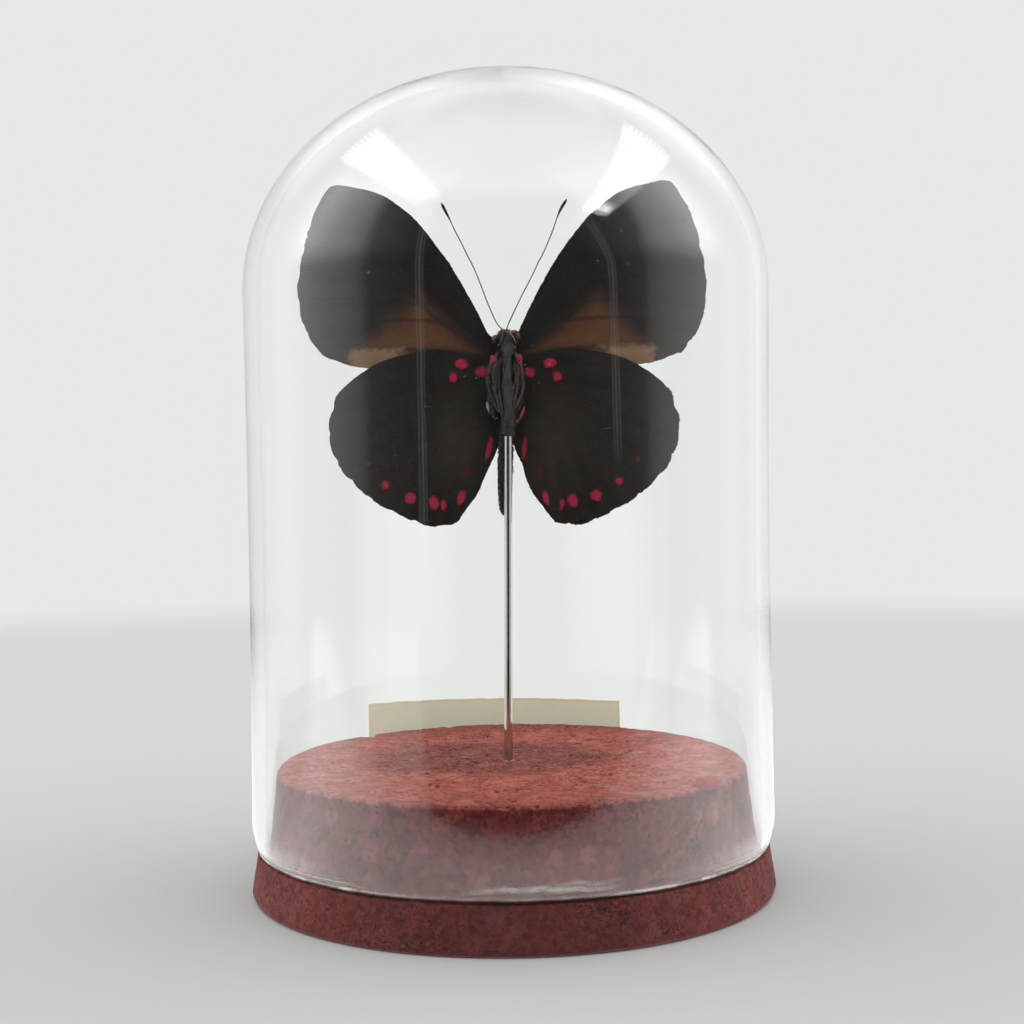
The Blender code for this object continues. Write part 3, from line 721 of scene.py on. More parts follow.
def paper_material(settings):
    """Old cream paper: long fibres, foxed patches, and a yellower edge."""
    material, w = new_material("cream_paper")
    place = w.place()
    cream = tuple(settings.paper_colour)
    colour = w.mix(w.noise(place, 3.5, 4.0), scaled(cream, 0.96), scaled(cream, 1.03))
    fibres = w.noise(w.place((0.25, 0.25, 1.6)), 0.5, 4.0, 0.7)
    colour = w.mix(w.step(fibres, 0.55, 0.75, 0.0, 0.35), colour, scaled(cream, 0.84))
    aged = w.mix(w.step(w.value("edge"), 0.7, 0.1, 0.0, 0.35), colour, (0.55, 0.47, 0.30))
    finish_material(w, {"Base Color": aged, "Roughness": 0.85, "Specular IOR Level": 0.2,
                        "Subsurface Weight": 1.0, "Subsurface Scale": 0.6 * MM,
                        "Subsurface Radius": (1.0, 0.9, 0.7), "Normal": w.bump(fibres, 0.05)})
    return material


def dust_material():
    """Pale dried glue and dust."""
    material, w = new_material("dried_glue")
    place = w.place()
    tone = w.mix(w.noise(place, 0.5, 4.0), (0.20, 0.13, 0.11), (0.55, 0.46, 0.42))
    finish_material(w, {"Base Color": tone, "Roughness": 0.7, "Normal": w.bump(w.noise(place, 0.2, 3.0), 0.05)})
    return material


def film_and_highlight_material():
    """A whitish film on glass, partly frosted glass and glue residue and partly painted highlight and reflection, that
    covers as much as its points' values say, thinned by noise.
    """
    material, w = new_material("rim_film_and_highlight")
    broken = w.step(w.noise(w.place((1, 1, 1.5)), 1.4, 2.0, 0.6), 0.25, 0.65, 0.5, 1.0)
    finish_material(w, {"Base Color": (0.88, 0.86, 0.83), "Roughness": 0.6,
                        "Alpha": w.times(broken, w.value("cover"))})
    return material


# Sizes and colours that a user would change

def length(name, default, low, high, about):
    """A length setting, given in millimetres and kept in metres."""
    return FloatProperty(name=name, description=about, default=default * MM, min=low * MM, max=high * MM,
                         precision=5, subtype="DISTANCE", unit="LENGTH")


def colour(name, default, about):
    """A colour setting."""
    return FloatVectorProperty(name=name, description=about, default=default, min=0.0, max=1.0, size=3,
                               subtype="COLOR")


class GlassSettings(bpy.types.PropertyGroup):
    wall: length("Wall", 2.0, 1.0, 3.0, "Thickness of the glass wall")
    ripple: length("Ripple", 0.03, 0.0, 0.2, "How far the blown wall strays from its true radius")
    ior: FloatProperty(name="IOR", description="Index of refraction of the glass", default=1.46, min=1.3, max=1.7)
    tint: colour("Tint", (0.995, 1.0, 0.996), "Colour of light through the glass")


class CorkSettings(bpy.types.PropertyGroup):
    grain: length("Grain", 1.7, 0.5, 5.0, "Size of the cork crumbs")
    gap_depth: length("Gaps", 0.10, 0.0, 0.5, "Depth of the gaps between crumbs")
    pit_depth: length("Pits", 0.32, 0.0, 1.0, "Depth of the open pits")
    dye: colour("Dye", (0.56, 0.139, 0.104), "Colour of the dyed crumb")
    warm: colour("Warm crumb", (0.46, 0.105, 0.050), "Colour of the brighter fields of crumb")
    fleck: colour("Flecks", (0.56, 0.21, 0.17), "Colour of the pale crumbs")
    knob_colour: colour("Knob", (0.40, 0.012, 0.007), "Colour of the raised crumb on the edge")
    pit: colour("Pits", (0.022, 0.009, 0.008), "Colour inside the pits")


class WingSettings(bpy.types.PropertyGroup):
    thickness: length("Thickness", 0.14, 0.05, 0.3, "Thickness of the wing membrane")
    vein_height: length("Veins", 0.02, 0.0, 0.2, "How far the veins stand proud")
    scale_colour: colour("Underside", (0.0180, 0.0158, 0.0124), "Colour of the dark scales below")
    upper_colour: colour("Upper side", (0.010, 0.010, 0.013), "Colour of the dark scales above")
    spot_colour: colour("Red spots", (0.62, 0.030, 0.078), "Colour of the red scale patches")
    patch_colour: colour("Brown field", (0.152, 0.065, 0.027), "Colour of the forewing's brown field")
    tan_colour: colour("Tan field", (0.44, 0.275, 0.150), "Colour of the brown field's pale outer end")
    upper_spot_colour: colour("Upper spots", (0.30, 0.38, 0.48), "Colour of the upper side's spots")


class BodySettings(bpy.types.PropertyGroup):
    hair_count: IntProperty(name="Hairs", description="Hairs on the thorax and head", default=2000, min=0, max=6000)
    hair_length: length("Hair length", 1.0, 0.1, 3.0, "Length of the longest hairs")
    skin_colour: colour("Skin", (0.026, 0.0225, 0.019), "Colour of the horny skin")
    sheath_colour: colour("Sheath", (0.0190, 0.0205, 0.0205), "Colour of the dried sheath over the legs")
    eye_colour: colour("Eyes", (0.030, 0.015, 0.012), "Colour of the eyes")


class RodSettings(bpy.types.PropertyGroup):
    radius: length("Radius", 0.65, 0.3, 1.0, "Radius of the steel rod")
    sleeve_radius: length("Sleeve", 1.1, 0.8, 1.5, "Radius of the dark sleeve at the rod's head")
    steel_colour: colour("Steel", (0.66, 0.66, 0.64), "Colour of the polished steel")
    sleeve_colour: colour("Sleeve", (0.045, 0.045, 0.042), "Colour of the sleeve")


class LabelSettings(bpy.types.PropertyGroup):
    thickness: length("Thickness", 0.14, 0.05, 0.3, "Thickness of the paper")
    gap: length("Gap", 0.03, 0.0, 0.2, "Gap between the paper and the glass")
    paper_colour: colour("Paper", (0.97, 0.92, 0.76), "Colour of the paper")


class StageSettings(bpy.types.PropertyGroup):
    focal: FloatProperty(name="Focal length", description="Camera lens in millimetres", default=1620.5 / 1024 * 36,
                         min=20.0, max=200.0, subtype="NONE")
    backdrop: colour("Backdrop", (0.905, 0.925, 0.91), "Colour seen behind the object")
    floor_colour: colour("Floor", (0.36, 0.365, 0.36), "Colour of the floor")
    overhead: FloatProperty(name="Overhead", description="Brightness of the light from above", default=3.3,
                            min=0.0, max=8.0)


# Glass

def glass_radius(height):
    """Outer radius of the wall: a waist as half a sine wave over the height, less a tuck at the rim."""
    along = (height - GLASS_BOTTOM) / (CAP_START - GLASS_BOTTOM)
    tuck = np.maximum(0.0, 1.0 - (height - GLASS_BOTTOM) / RIM_TUCK_HEIGHT)
    return GLASS_RADIUS - WAIST * np.sin(np.pi * along) - RIM_TUCK * tuck ** 1.5


def glass_profile(wall):
    """(radius, height) down the outside from the crown, round the rim, and up the inside."""
    half = RIM_WALL / 2
    rim = (glass_radius(GLASS_BOTTOM + half) - half, GLASS_BOTTOM + half)
    low = GLASS_BOTTOM + RIM_TUCK_HEIGHT
    down = np.linspace(CAP_START, low, 40)[1:]
    tuck = np.linspace(low, GLASS_BOTTOM + half, 14)[1:-1]
    outer = arc((0.0, CAP_START), (GLASS_RADIUS, CAP_HEIGHT), 89.0, 0.0, 56)
    inner = arc((0.0, CAP_START), (GLASS_RADIUS - wall, CAP_HEIGHT - wall), 0.0, 89.0, 56)
    walls = np.concatenate([down, tuck])
    thin = wall + (RIM_WALL - wall) * np.clip(1 - (walls - GLASS_BOTTOM) / RIM_TUCK_HEIGHT, 0, 1)
    outside = np.stack([glass_radius(walls), walls], -1)
    inside = np.stack([glass_radius(walls) - thin, walls], -1)[::-1]
    return np.concatenate([outer, outside, arc(rim, (half, half), 0, -180, 14), inside, inner])


def glass_surface(settings):
    """The profile turned about Z, with noise of the bearing and height added to the radius."""
    profile = glass_profile(settings.wall / MM)
    surface = turned(profile, 224)
    place = surface.points
    stray = smooth_noise(place * (1, 1, 0.7), 17.0, 5) - 0.5
    flat = np.maximum(np.linalg.norm(place[:, :2], axis=1, keepdims=True), 1e-6)
    fade = smooth_step(flat[:, 0], 4.0, 16.0)
    place[:, :2] += place[:, :2] / flat * (2 * settings.ripple / MM * stray * fade)[:, None]
    return surface


# Cork

def cork_profile():
    """(radius, height) from the middle of the top, down the plug and foot, to the middle of the underside."""
    r = PLUG_ROUNDING
    top = np.stack([np.linspace(0.25, PLUG_TOP_RADIUS - r, 84), np.full(84, CORK_TOP)], -1)
    edge = arc((PLUG_TOP_RADIUS - r, CORK_TOP - r), (r, r), 90, 5, 5)[1:]
    side = np.linspace(edge[-1], (PLUG_FOOT_RADIUS, LEDGE_HEIGHT), 40)[1:]
    ledge = np.linspace(side[-1], (LEDGE_RADIUS - 0.3, LEDGE_HEIGHT), 8)[1:]
    corner = arc((LEDGE_RADIUS - 0.3, LEDGE_HEIGHT - 0.3), (0.3, 0.3), 90, 0, 3)[1:]
    foot = np.linspace(corner[-1], (FOOT_RADIUS, FOOT_ROUNDING), 20)[1:]
    heel = arc((FOOT_RADIUS - FOOT_ROUNDING, FOOT_ROUNDING), (FOOT_ROUNDING,) * 2, 0, -90, 6)[1:]
    under = np.stack([np.linspace(FOOT_RADIUS - FOOT_ROUNDING, 0.4, 14)[1:], np.zeros(13)], -1)
    return np.concatenate([top, edge, side, ledge, corner, foot, heel, under])


def cork_surface(settings):
    """The profile turned about Z, each point moved in along its normal by the crumbs' relief.

    The plug sits off the middle by its shift. Relief is a groove where the nearest two crumb middles are
    equally far, each crumb's own height, and pits where a noise is high. The underside keeps to its plane,
    and a notch is cut in the back edge.
    """
    profile = cork_profile()
    surface = turned(profile, 480)
    slope = np.gradient(profile, axis=0)
    facing = unit(np.stack([-slope[:, 1], slope[:, 0]], -1))
    flat = surface.points[:-2].reshape(len(profile), -1, 3)
    out = unit(flat[..., :2])
    normal = np.concatenate([out * facing[:, None, :1], np.broadcast_to(facing[:, None, 1:], out[..., :1].shape)], -1)
    nearest, second, number = grain_noise(flat, settings.grain / MM, 11)
    groove = 1 - smooth_step(second - nearest, 0.0, 0.22)
    gaps = groove * smooth_step(smooth_noise(flat, 3.0, 23), 0.35, 0.7)
    pits = smooth_step(smooth_noise(flat, 0.55, 31) * 0.62 + smooth_noise(flat, 3.4, 37) * 0.38, 0.66, 0.78)
    pits = pits * np.where(facing[:, None, 1] > 0.5, 1.0, 0.4)
    relief = (gaps * settings.gap_depth + pits * settings.pit_depth) / MM + 0.06 * number
    relief = relief + 0.14 * (smooth_noise(flat, 7.0, 41) - 0.5)
    notch = 1 - smooth_step(np.linalg.norm(flat - np.array(NOTCH_PLACE), axis=-1), 0.6, 1.9)
    under = facing[:, 1] < -0.5
    relief = np.where(under[:, None] & (flat[..., 2] < 0.3), 0.0, relief + 0.9 * notch)
    moved = flat - normal * relief[..., None]
    moved[..., 0] -= PLUG_SHIFT * smooth_step(flat[..., 2], 7.2, 12.0)
    moved[..., 2] = np.maximum(moved[..., 2], 0.0)
    hollow = np.clip(np.maximum(gaps * 0.45, pits) + notch * 0.5, 0, 1)
    return ringed(moved, gap=hollow)


def knob_surface():
    """A raised crumb on the plug's edge: a roughened ellipsoid turned to its bearing."""
    lump = ellipsoid((0, 0, 0), KNOB_SIZE, 30, 44, rough=0.14, rough_size=0.8, seed=3)
    along = PLUG_TOP_RADIUS - 0.8
    turn = np.array([[math.cos(KNOB_BEARING), -math.sin(KNOB_BEARING), 0],
                     [math.sin(KNOB_BEARING), math.cos(KNOB_BEARING), 0], [0, 0, 1]])
    middle = np.array([along * math.sin(KNOB_BEARING) - PLUG_SHIFT, along * math.cos(KNOB_BEARING), CORK_TOP - 0.1])
    lump.points = lump.points @ turn + middle
    nearest, second, _ = grain_noise(lump.points, 0.8, 7)
    lump.values["gap"] = 0.5 * (1 - smooth_step(second - nearest, 0.0, 0.2))
    lump.values["knob"] = 0.75 + 0.25 * smooth_noise(lump.points, 0.7, 8)
    return lump


# Wings

def ellipse_field(flat, marks):
    """The largest of 1 minus the distance from each mark's middle, in its own half sizes, times its mean half size."""
    best = np.full(flat.shape[:-1], -3.0)
    for x, z, half_x, half_z, tilt in marks:
        turn = math.radians(tilt)
        across = (flat[..., 0] - x) * math.cos(turn) + (flat[..., 1] - z) * math.sin(turn)
        along = (flat[..., 1] - z) * math.cos(turn) - (flat[..., 0] - x) * math.sin(turn)
        reach = (1 - np.hypot(across / half_x, along / half_z)) * math.sqrt(half_x * half_z)
        best = np.maximum(best, reach)
    return best


def triangle_field(flat, corners):
    """The least of the distances inside a triangle's three sides."""
    corners = np.array(corners, float)
    best = np.full(flat.shape[:-1], 99.0)
    middle = corners.mean(axis=0)
    for a, b in zip(corners, np.roll(corners, -1, axis=0)):
        across = unit(np.array([a[1] - b[1], b[0] - a[0]]))
        across = across * np.sign((middle - a) @ across)
        best = np.minimum(best, (flat - a) @ across)
    return best


def line_distance(flat, lines):
    """Distance to the nearest of several lines, each a curve through its points."""
    best = np.full(flat.shape[:-1], 99.0)
    for line in lines:
        run = curve_through(line, 14)
        for a, b in zip(run, run[1:]):
            share = np.clip(((flat - a) @ (b - a)) / ((b - a) @ (b - a)), 0, 1)
            best = np.minimum(best, np.linalg.norm(flat - a - share[..., None] * (b - a), axis=-1))
    return best


def wing_outline(corners, lobes, columns, seed):
    """The closed curve through the corners, lobed between two places and finely frayed all round.

    The lobes' height is the absolute value of a sine wave of the share of the way between the places.
    """
    run = curve_through(corners, columns, closed=True)
    start, end = (np.argmin(np.linalg.norm(run - np.array(place), axis=1)) for place in lobes[:2])
    share = np.clip((np.arange(columns) - start) / (end - start), 0, 1)
    inside = smooth_step(share, 0.0, 0.06) * (1 - smooth_step(share, 0.94, 1.0))
    ahead = unit(np.roll(run, -1, axis=0) - np.roll(run, 1, axis=0))
    outward = np.stack([-ahead[:, 1], ahead[:, 0]], -1)
    centre = run.mean(axis=0)
    outward *= np.sign(np.einsum("ij,ij->", run - centre, outward))
    wave = (np.abs(np.sin(np.pi * share * lobes[2])) - 0.64) * lobes[3] * inside
    place = np.concatenate([run, np.full((columns, 1), seed * 9.0)], 1)
    fray = (smooth_noise(place, 0.24, seed) - 0.5) * 0.20 * (0.7 + 0.5 * inside)
    fray += (smooth_noise(place, 1.7, seed + 3) - 0.5) * 0.16 * inside
    fray -= 0.22 * smooth_step(smooth_noise(place, 1.1, seed + 5), 0.80, 0.93) * inside
    return run + outward * (wave + fray)[:, None]


def wing_surface(side, corners, hub, lobes, veins, depth, marks, settings, seed):
    """A thin closed shell on two sides of a bent sheet, as a grid of shares of the way from hub to outline.

    The sheet is set back by its depth, plus the lift times the square of the reach, plus shallow folds
    between the veins. Veins stand proud as narrow bells of the distance to the nearest one.
    """
    outline = wing_outline(corners, lobes, WING_COLUMNS, seed)
    share = np.linspace(0.02, 1.0, 42) ** 0.8
    flat = np.array(hub) + share[:, None, None] * (outline - np.array(hub))
    near = line_distance(flat, veins)
    reach = flat[..., 0] / WING_REACH
    place = np.concatenate([flat, np.full((*flat.shape[:2], 1), seed * 7.0)], -1)
    fold = smooth_step(near, 0.2, 2.6)
    buckle = 0.35 * (smooth_noise(place, 9.0, seed + 1) - 0.5) * smooth_step(flat[..., 0], 2.0, 9.0)
    sheet = depth + WING_LIFT * reach ** 2 + buckle + 0.10 * fold
    half = settings.thickness / MM / 2 * (0.4 + 0.6 * (1 - share ** 14))[:, None]
    rib = settings.vein_height / MM * np.exp(-(near / 0.11) ** 2)
    across = WING_MIDDLE + side * flat[..., 0]
    fields = {
        "vein": near, "fold": fold * smooth_step(smooth_noise(place * (1, 1, 1), 2.0, seed + 2), 0.2, 0.8),
        "spot": ellipse_field(flat, marks["red"]),
        "faint": smooth_step(ellipse_field(flat, marks["faint"]), -0.6, -0.2),
        "patch": triangle_field(flat, marks["brown"]) if marks["brown"] else np.full(near.shape, -9.0),
        "rubbed": ellipse_field(flat, marks["rubbed"]),
        "glow": np.exp(-((flat[..., 0] - 7.2) / 5.2) ** 2 - ((flat[..., 1] - 68.0) / 7.5) ** 2),
    }
    fields["tan"] = np.minimum(np.minimum(fields["patch"] + 1.6, (24.2 - flat[..., 0]) * 0.6),
                               np.minimum((flat[..., 0] - 15.2) * 0.3, 83.3 - flat[..., 1]))
    upper_fields = {**fields, "spot": ellipse_field(flat, marks["upper"])}
    below = np.stack([across, sheet - half - rib, flat[..., 1]], -1)
    above = np.stack([across, sheet + half + rib * 0.6, flat[..., 1]], -1)
    rings = np.concatenate([below, above[::-1]])
    values = {key: np.concatenate([fields[key], upper_fields[key][::-1]]) for key in fields}
    surface = ringed(rings, **values)
    return surface, len(below)


def make_wing(name, side_name, hind, materials, settings):
    """One wing, its underside and upper side with their own materials.

    The underside's faces come first, so the upper side's numbers start after them.
    """
    side = -1 if side_name == "left" else 1
    left = side < 0
    red = RED_LEFT if left else RED_RIGHT
    marks = {
        "red": red if hind else ((-50, 0, 1, 1, 0),),
        "faint": [mark for mark in red if mark[2] < 0.36 and mark[1] < 66] if hind else ((-50, 0, 1, 1, 0),),
        "brown": None if hind else (BROWN_LEFT if left else BROWN_RIGHT),
        "rubbed": RUBBED_LEFT if left else RUBBED_RIGHT,
        "upper": [(x, z, r, r, 0) for x, z, r in (UPPER_HIND_SPOTS if hind else UPPER_FORE_SPOTS)],
    }
    shape = ((HINDWING_EDGE, HINDWING_HUB, HINDWING_LOBES, HINDWING_VEINS, HINDWING_DEPTH) if hind
             else (FOREWING_EDGE, FOREWING_HUB, FOREWING_LOBES, FOREWING_VEINS, FOREWING_DEPTH))
    if hind and not left:
        shape = (tuple((x + INNER_GAP * (x < 2.5 and z < 71.0), z) for x, z in shape[0]), *shape[1:])
    surface, split = wing_surface(side, *shape, marks, settings, seed=10 + 2 * hind + left)
    piece = make_piece(name, [surface], materials, (name.replace("scaled_", ""),))
    columns = WING_COLUMNS
    numbers = np.zeros(len(piece.data.polygons), np.int32)
    numbers[(split - 1) * columns:len(surface.quads)] = 1
    numbers[len(surface.quads) + columns:] = 1
    piece.data.polygons.foreach_set("material_index", numbers)
    return piece


# Body

def hairs(roots, ways, lengths, thick, droop, material, seed):
    """Tapered three-sided tubes: each point is the root plus its way times a share, plus the droop times its square."""
    rng = np.random.default_rng(seed)
    share = np.linspace(0, 1, 4)[None, :, None]
    curl = rng.normal(0, 0.22, roots.shape)[:, None, :]
    paths = roots[:, None] + lengths[:, None, None] * (ways[:, None] * share + (np.array(droop) + curl) * share ** 2)
    radii = thick * (1 - 0.85 * np.linspace(0, 1, 4))[None, :] * np.ones((len(roots), 1))
    return tubes(paths, radii, 3, material)


def shell_points(centre, size, count, rng):
    """Random points on an ellipsoid, and the directions in which it faces there."""
    ball = unit(rng.normal(size=(count, 3)))
    return np.array(centre) + ball * np.array(size), unit(ball / np.array(size))


def abdomen_surface(material):
    """A ringed spindle, its radius a flattened half sine wave times a saw-tooth for each ring, roughened by noise."""
    high, low = ABDOMEN_SPAN[1], ABDOMEN_SPAN[0]
    down = np.linspace(0.012, 0.995, 100)[:, None]
    angle = np.linspace(0, 2 * np.pi, 48, endpoint=False)[None, :]
    height = high + (low - high) * down
    saw = (down * 8) % 1
    radius = ABDOMEN_RADIUS * np.sin(np.pi * down) ** 0.34 * (0.90 + 0.13 * saw ** 1.5)
    lean = -0.1 - 0.62 * down
    place = np.stack(np.broadcast_arrays(
        lean + radius * np.cos(angle), 1.55 + 0.95 * radius * np.sin(angle), height), -1)
    rough = 1 + 0.13 * (smooth_noise(place, 0.45, 3) - 0.5) + 0.22 * (smooth_noise(place, 0.2, 9) - 0.5) * saw
    middle = np.stack(np.broadcast_arrays(lean, 1.55 + 0 * down, height), -1)
    return ringed(middle + (place - middle) * rough[..., None], material)


def abdomen_scales(material):
    """Small lifted scales over the abdomen: flat two-ended slivers, pointing down and a little out."""
    rng = np.random.default_rng(77)
    count = 900
    down = rng.uniform(0.06, 0.97, count)
    angle = rng.uniform(0, 2 * np.pi, count)
    radius = ABDOMEN_RADIUS * np.sin(np.pi * down) ** 0.34 * 0.97
    face = np.stack([np.cos(angle), np.sin(angle), np.zeros(count)], -1)
    root = np.stack([-0.1 - 0.62 * down, np.full(count, 1.55),
                     ABDOMEN_SPAN[1] + (ABDOMEN_SPAN[0] - ABDOMEN_SPAN[1]) * down], -1)
    root = root + face * radius[:, None]
    way = unit(face * rng.uniform(0.15, 0.6, (count, 1)) + np.array([0, 0, -1.0]))
    reach = rng.uniform(0.22, 0.5, count)
    share = np.linspace(0, 1, 4)[None, :, None]
    paths = root[:, None] + way[:, None] * share * reach[:, None, None]
    radii = np.array([0.05, 0.085, 0.07, 0.02])[None, :] * np.ones((count, 1))
    return tubes(paths, radii, 4, material, flatten=radii * 0.35)


def sheath_surface(material):
    """Rings between the listed heights, each a flattened round: half width across, and out to its front."""
    rows = curve_through(SHEATH, 90)
    angle = np.linspace(0, 2 * np.pi, 64, endpoint=False)[None, :]
    height, middle, half, front = (rows[:, i:i + 1] for i in range(4))
    back = np.where(height > 80, 0.2, -0.2)
    deep = (back - front) / 2
    square = np.sign(np.cos(angle)) * np.abs(np.cos(angle)) ** 0.8
    place = np.stack(np.broadcast_arrays(middle + half * square, (back + front) / 2 + deep * np.sin(angle), height), -1)
    groove = smooth_noise(place * (1, 1, 0.22), 0.34, 6) - 0.5
    coarse = smooth_noise(place * (1, 1, 0.6), 0.9, 8) - 0.5
    centre = np.stack(np.broadcast_arrays(middle, (back + front) / 2, height), -1)
    knots = smooth_noise(place, 0.32, 12) - 0.5
    return ringed(centre + (place - centre) * (1 + 0.40 * groove + 0.30 * coarse + 0.16 * knots)[..., None], material)


def leg_surface(points, radii, material, seed):
    """A tube along a leg, thick in the middle, with a swelling at its joints and noise in its radius."""
    run = curve_through(points, 84)
    share = np.linspace(0, 1, 84)
    radius = np.interp(share, [0, 0.04, 0.45, 0.55, 0.96, 1],
                       [0.4 * radii[0], radii[0], radii[1], radii[1] * 0.85, radii[2], 0.3 * radii[2]])
    radius = radius * (1 + 0.18 * np.exp(-((share - 0.5) / 0.03) ** 2))
    radius = radius * (0.72 + 0.30 * smooth_noise(run + seed * 5, 0.7, seed)
                       + 0.28 * smooth_noise(run + seed * 5, 0.26, seed + 1))
    run = run + 0.22 * (np.stack([smooth_noise(run + 9 * k, 0.8, seed + 40 + k) for k in range(3)], -1) - 0.5)
    return tubes(run, radius, 12, material, flatten=radius * 0.8)


def body_surfaces(settings):
    """Thorax, head, eyes, palps, sheath, legs, abdomen, hairs, scales, red patches, and small pale slivers as painted
    glints.
    """
    skin, sheath, eye, hair, leg, red, pale, flake, rosy, yellow, pink = range(11)
    rng = np.random.default_rng(4)
    parts = [
        ellipsoid(THORAX_CENTRE, THORAX_SIZE, 50, 56, skin, 0.09, 1.2, 2),
        ellipsoid(HEAD_CENTRE, HEAD_SIZE, 40, 48, skin, 0.10, 0.6, 5),
        abdomen_surface(skin), abdomen_scales(flake), sheath_surface(sheath),
    ]
    for centre, radius in EYES:
        ball = ellipsoid(centre, (radius, radius * 0.95, radius), 36, 44, eye)
        facing = (ball.points - np.array(centre)) / radius
        # Painted reddish highlight on the side of each eye that faces up, left and towards the viewer, weaker on the
        # left eye
        ball.values["ruddy"] = (smooth_step(facing @ np.array([-0.35, -0.45, 0.82]), 0.72, 1.0)
                                * (0.9 if centre[0] > 0 else 0.5))
        parts.append(ball)
    legs = (sheath, leg, rosy)
    parts += [leg_surface(points, radii, legs[kind], i) for i, (points, radii, kind) in enumerate(LEGS)]
    for centre, size, dull in BODY_REDS:
        parts.append(ellipsoid(centre, np.array(size) * 0.82, 26, 30, rosy if dull else red, 0.34, 0.28, 8))
        root, facing = shell_points(centre, np.array(size) * 0.82, 170, rng)
        kinds = rng.uniform(size=170) < np.clip(0.55 - 0.9 * facing[:, 2], 0.1, 0.9)
        for mask, kind in ((kinds & (facing[:, 2] < 0), rosy if dull else pink), (~kinds, rosy if dull else red)):
            parts.append(hairs(root[mask], unit(facing[mask] + np.array([0, -0.2, -1.2])),
                               rng.uniform(0.14, 0.42, int(mask.sum())), 0.035, (0, 0, -0.2), kind, 31))
    streak = curve_through(PINK_STREAK, 40)
    swell = np.sin(np.linspace(0.25, 2.95, 40))
    parts.append(tubes(streak[:24], 0.22 * swell[:24], 12, red))
    parts.append(tubes(streak[20:], 0.22 * swell[20:], 12, rosy))
    for centre, size in FLANKS:
        parts.append(ellipsoid(centre, size, 56, 48, leg, 0.30, 0.7, 14))
        root, facing = shell_points(centre, size, 420, rng)
        parts.append(hairs(root, unit(facing * 0.4 + rng.normal(0, 0.2, root.shape) + np.array([0, -0.1, -1.0])),
                           rng.uniform(0.3, 0.9, 420), 0.026, (0, 0, -0.2), leg, 33))
    for centre, size in BROWN_TUFTS:
        root, facing = shell_points(centre, size, 150, rng)
        parts.append(hairs(root, unit(facing * 0.6 + rng.normal(0, 0.2, root.shape) + np.array([0, -0.2, -1.0])),
                           rng.uniform(0.3, 0.8, 150), 0.026, (0, 0, -0.2), yellow, 32))
    for side in (-1, 1):
        palp = curve_through(((side * 0.5, 0.1, 82.8), (side * 0.62 - 0.1, -0.7, 83.8),
                              (side * 0.3 - 0.1, -0.85, 85.2)), 40)
        thickness = np.interp(np.linspace(0, 1, 40), [0, 0.4, 0.9, 1], [0.3, 0.42, 0.2, 0.05])
        parts.append(tubes(palp, thickness, 16, sheath))
    count = settings.hair_count
    fur, facing = shell_points(THORAX_CENTRE, THORAX_SIZE, count, rng)
    keep = (facing[:, 1] > -0.45) | (np.abs(facing[:, 0]) > 0.75)
    fur, facing = fur[keep], facing[keep]
    length_mm = settings.hair_length / MM * rng.uniform(0.35, 1.0, len(fur))
    parts.append(hairs(fur - facing * 0.1,
                       unit(facing * 0.5 + rng.normal(0, 0.22, fur.shape) + np.array([0, 0.1, -0.7])),
                       length_mm, 0.022, (0, 0, -0.2), hair, 21))
    crown, facing = shell_points(HEAD_CENTRE, HEAD_SIZE, count // 4, rng)
    parts.append(hairs(crown, unit(facing + rng.normal(0, 0.3, crown.shape)), rng.uniform(0.15, 0.45, len(crown)),
                       0.02, (0, 0, 0), hair, 22))
    tail = np.stack([rng.uniform(-1.3, 0.6, 160), rng.uniform(0.6, 2.4, 160), rng.uniform(72, 74.5, 160)], -1)
    parts.append(hairs(tail, unit(rng.normal(0, 0.4, tail.shape) + np.array([0, 0, -1.0])), rng.uniform(0.5, 1.3, 160),
                       0.022, (0, 0, 0), hair, 23))
    # White tuft and pale sliver beside the left legs as a painted highlight along a leg, and a pale fibre across the
    # head
    tuft = np.array([-2.95, -0.9, 73.9]) + rng.normal(0, (0.08, 0.10, 0.20), (34, 3))
    parts.append(hairs(tuft, unit(rng.normal(0, 0.22, tuft.shape) + np.array([-0.1, -0.1, -1.0])),
                       rng.uniform(0.4, 1.1, 34), 0.024, (0.3, 0, 0), pale, 24))
    sliver = curve_through(((-3.12, -0.9, 74.5), (-3.10, -1.0, 73.9), (-2.95, -1.05, 73.3), (-2.75, -1.0, 72.8)), 24)
    parts.append(tubes(sliver, 0.13 * np.sin(np.linspace(0.2, 2.9, 24)), 8, pale))
    fibre = curve_through(((0.45, -1.0, 85.2), (0.85, -1.25, 84.5), (1.2, -1.4, 83.9), (1.42, -1.3, 83.2)), 24)
    parts.append(tubes(fibre, 0.032, 8, pale))
    # Painted glints: short pale slivers on the body and the wings near it
    glints = np.array(PAINTED_GLINTS)
    ends = glints[:, :3] + rng.normal(0, 1.0, (len(glints), 3)) * glints[:, 3:] * (1.6, 0.5, 1.6)
    share = np.linspace(0, 1, 4)[None, :, None]
    parts.append(tubes(glints[:, None, :3] + share * (ends - glints[:, :3])[:, None],
                       glints[:, 3:] * np.array([0.3, 0.6, 0.5, 0.2])[None, :], 5, pale))
    return parts


# Rod, sleeve and glue

def leaning(low, high, count):
    """Points on the rod's leaning axis between two heights."""
    foot, head = np.array(ROD_FOOT), np.array(ROD_HEAD)
    share = (np.linspace(low, high, count) - foot[2]) / (head[2] - foot[2])
    return foot + share[:, None] * (head - foot)


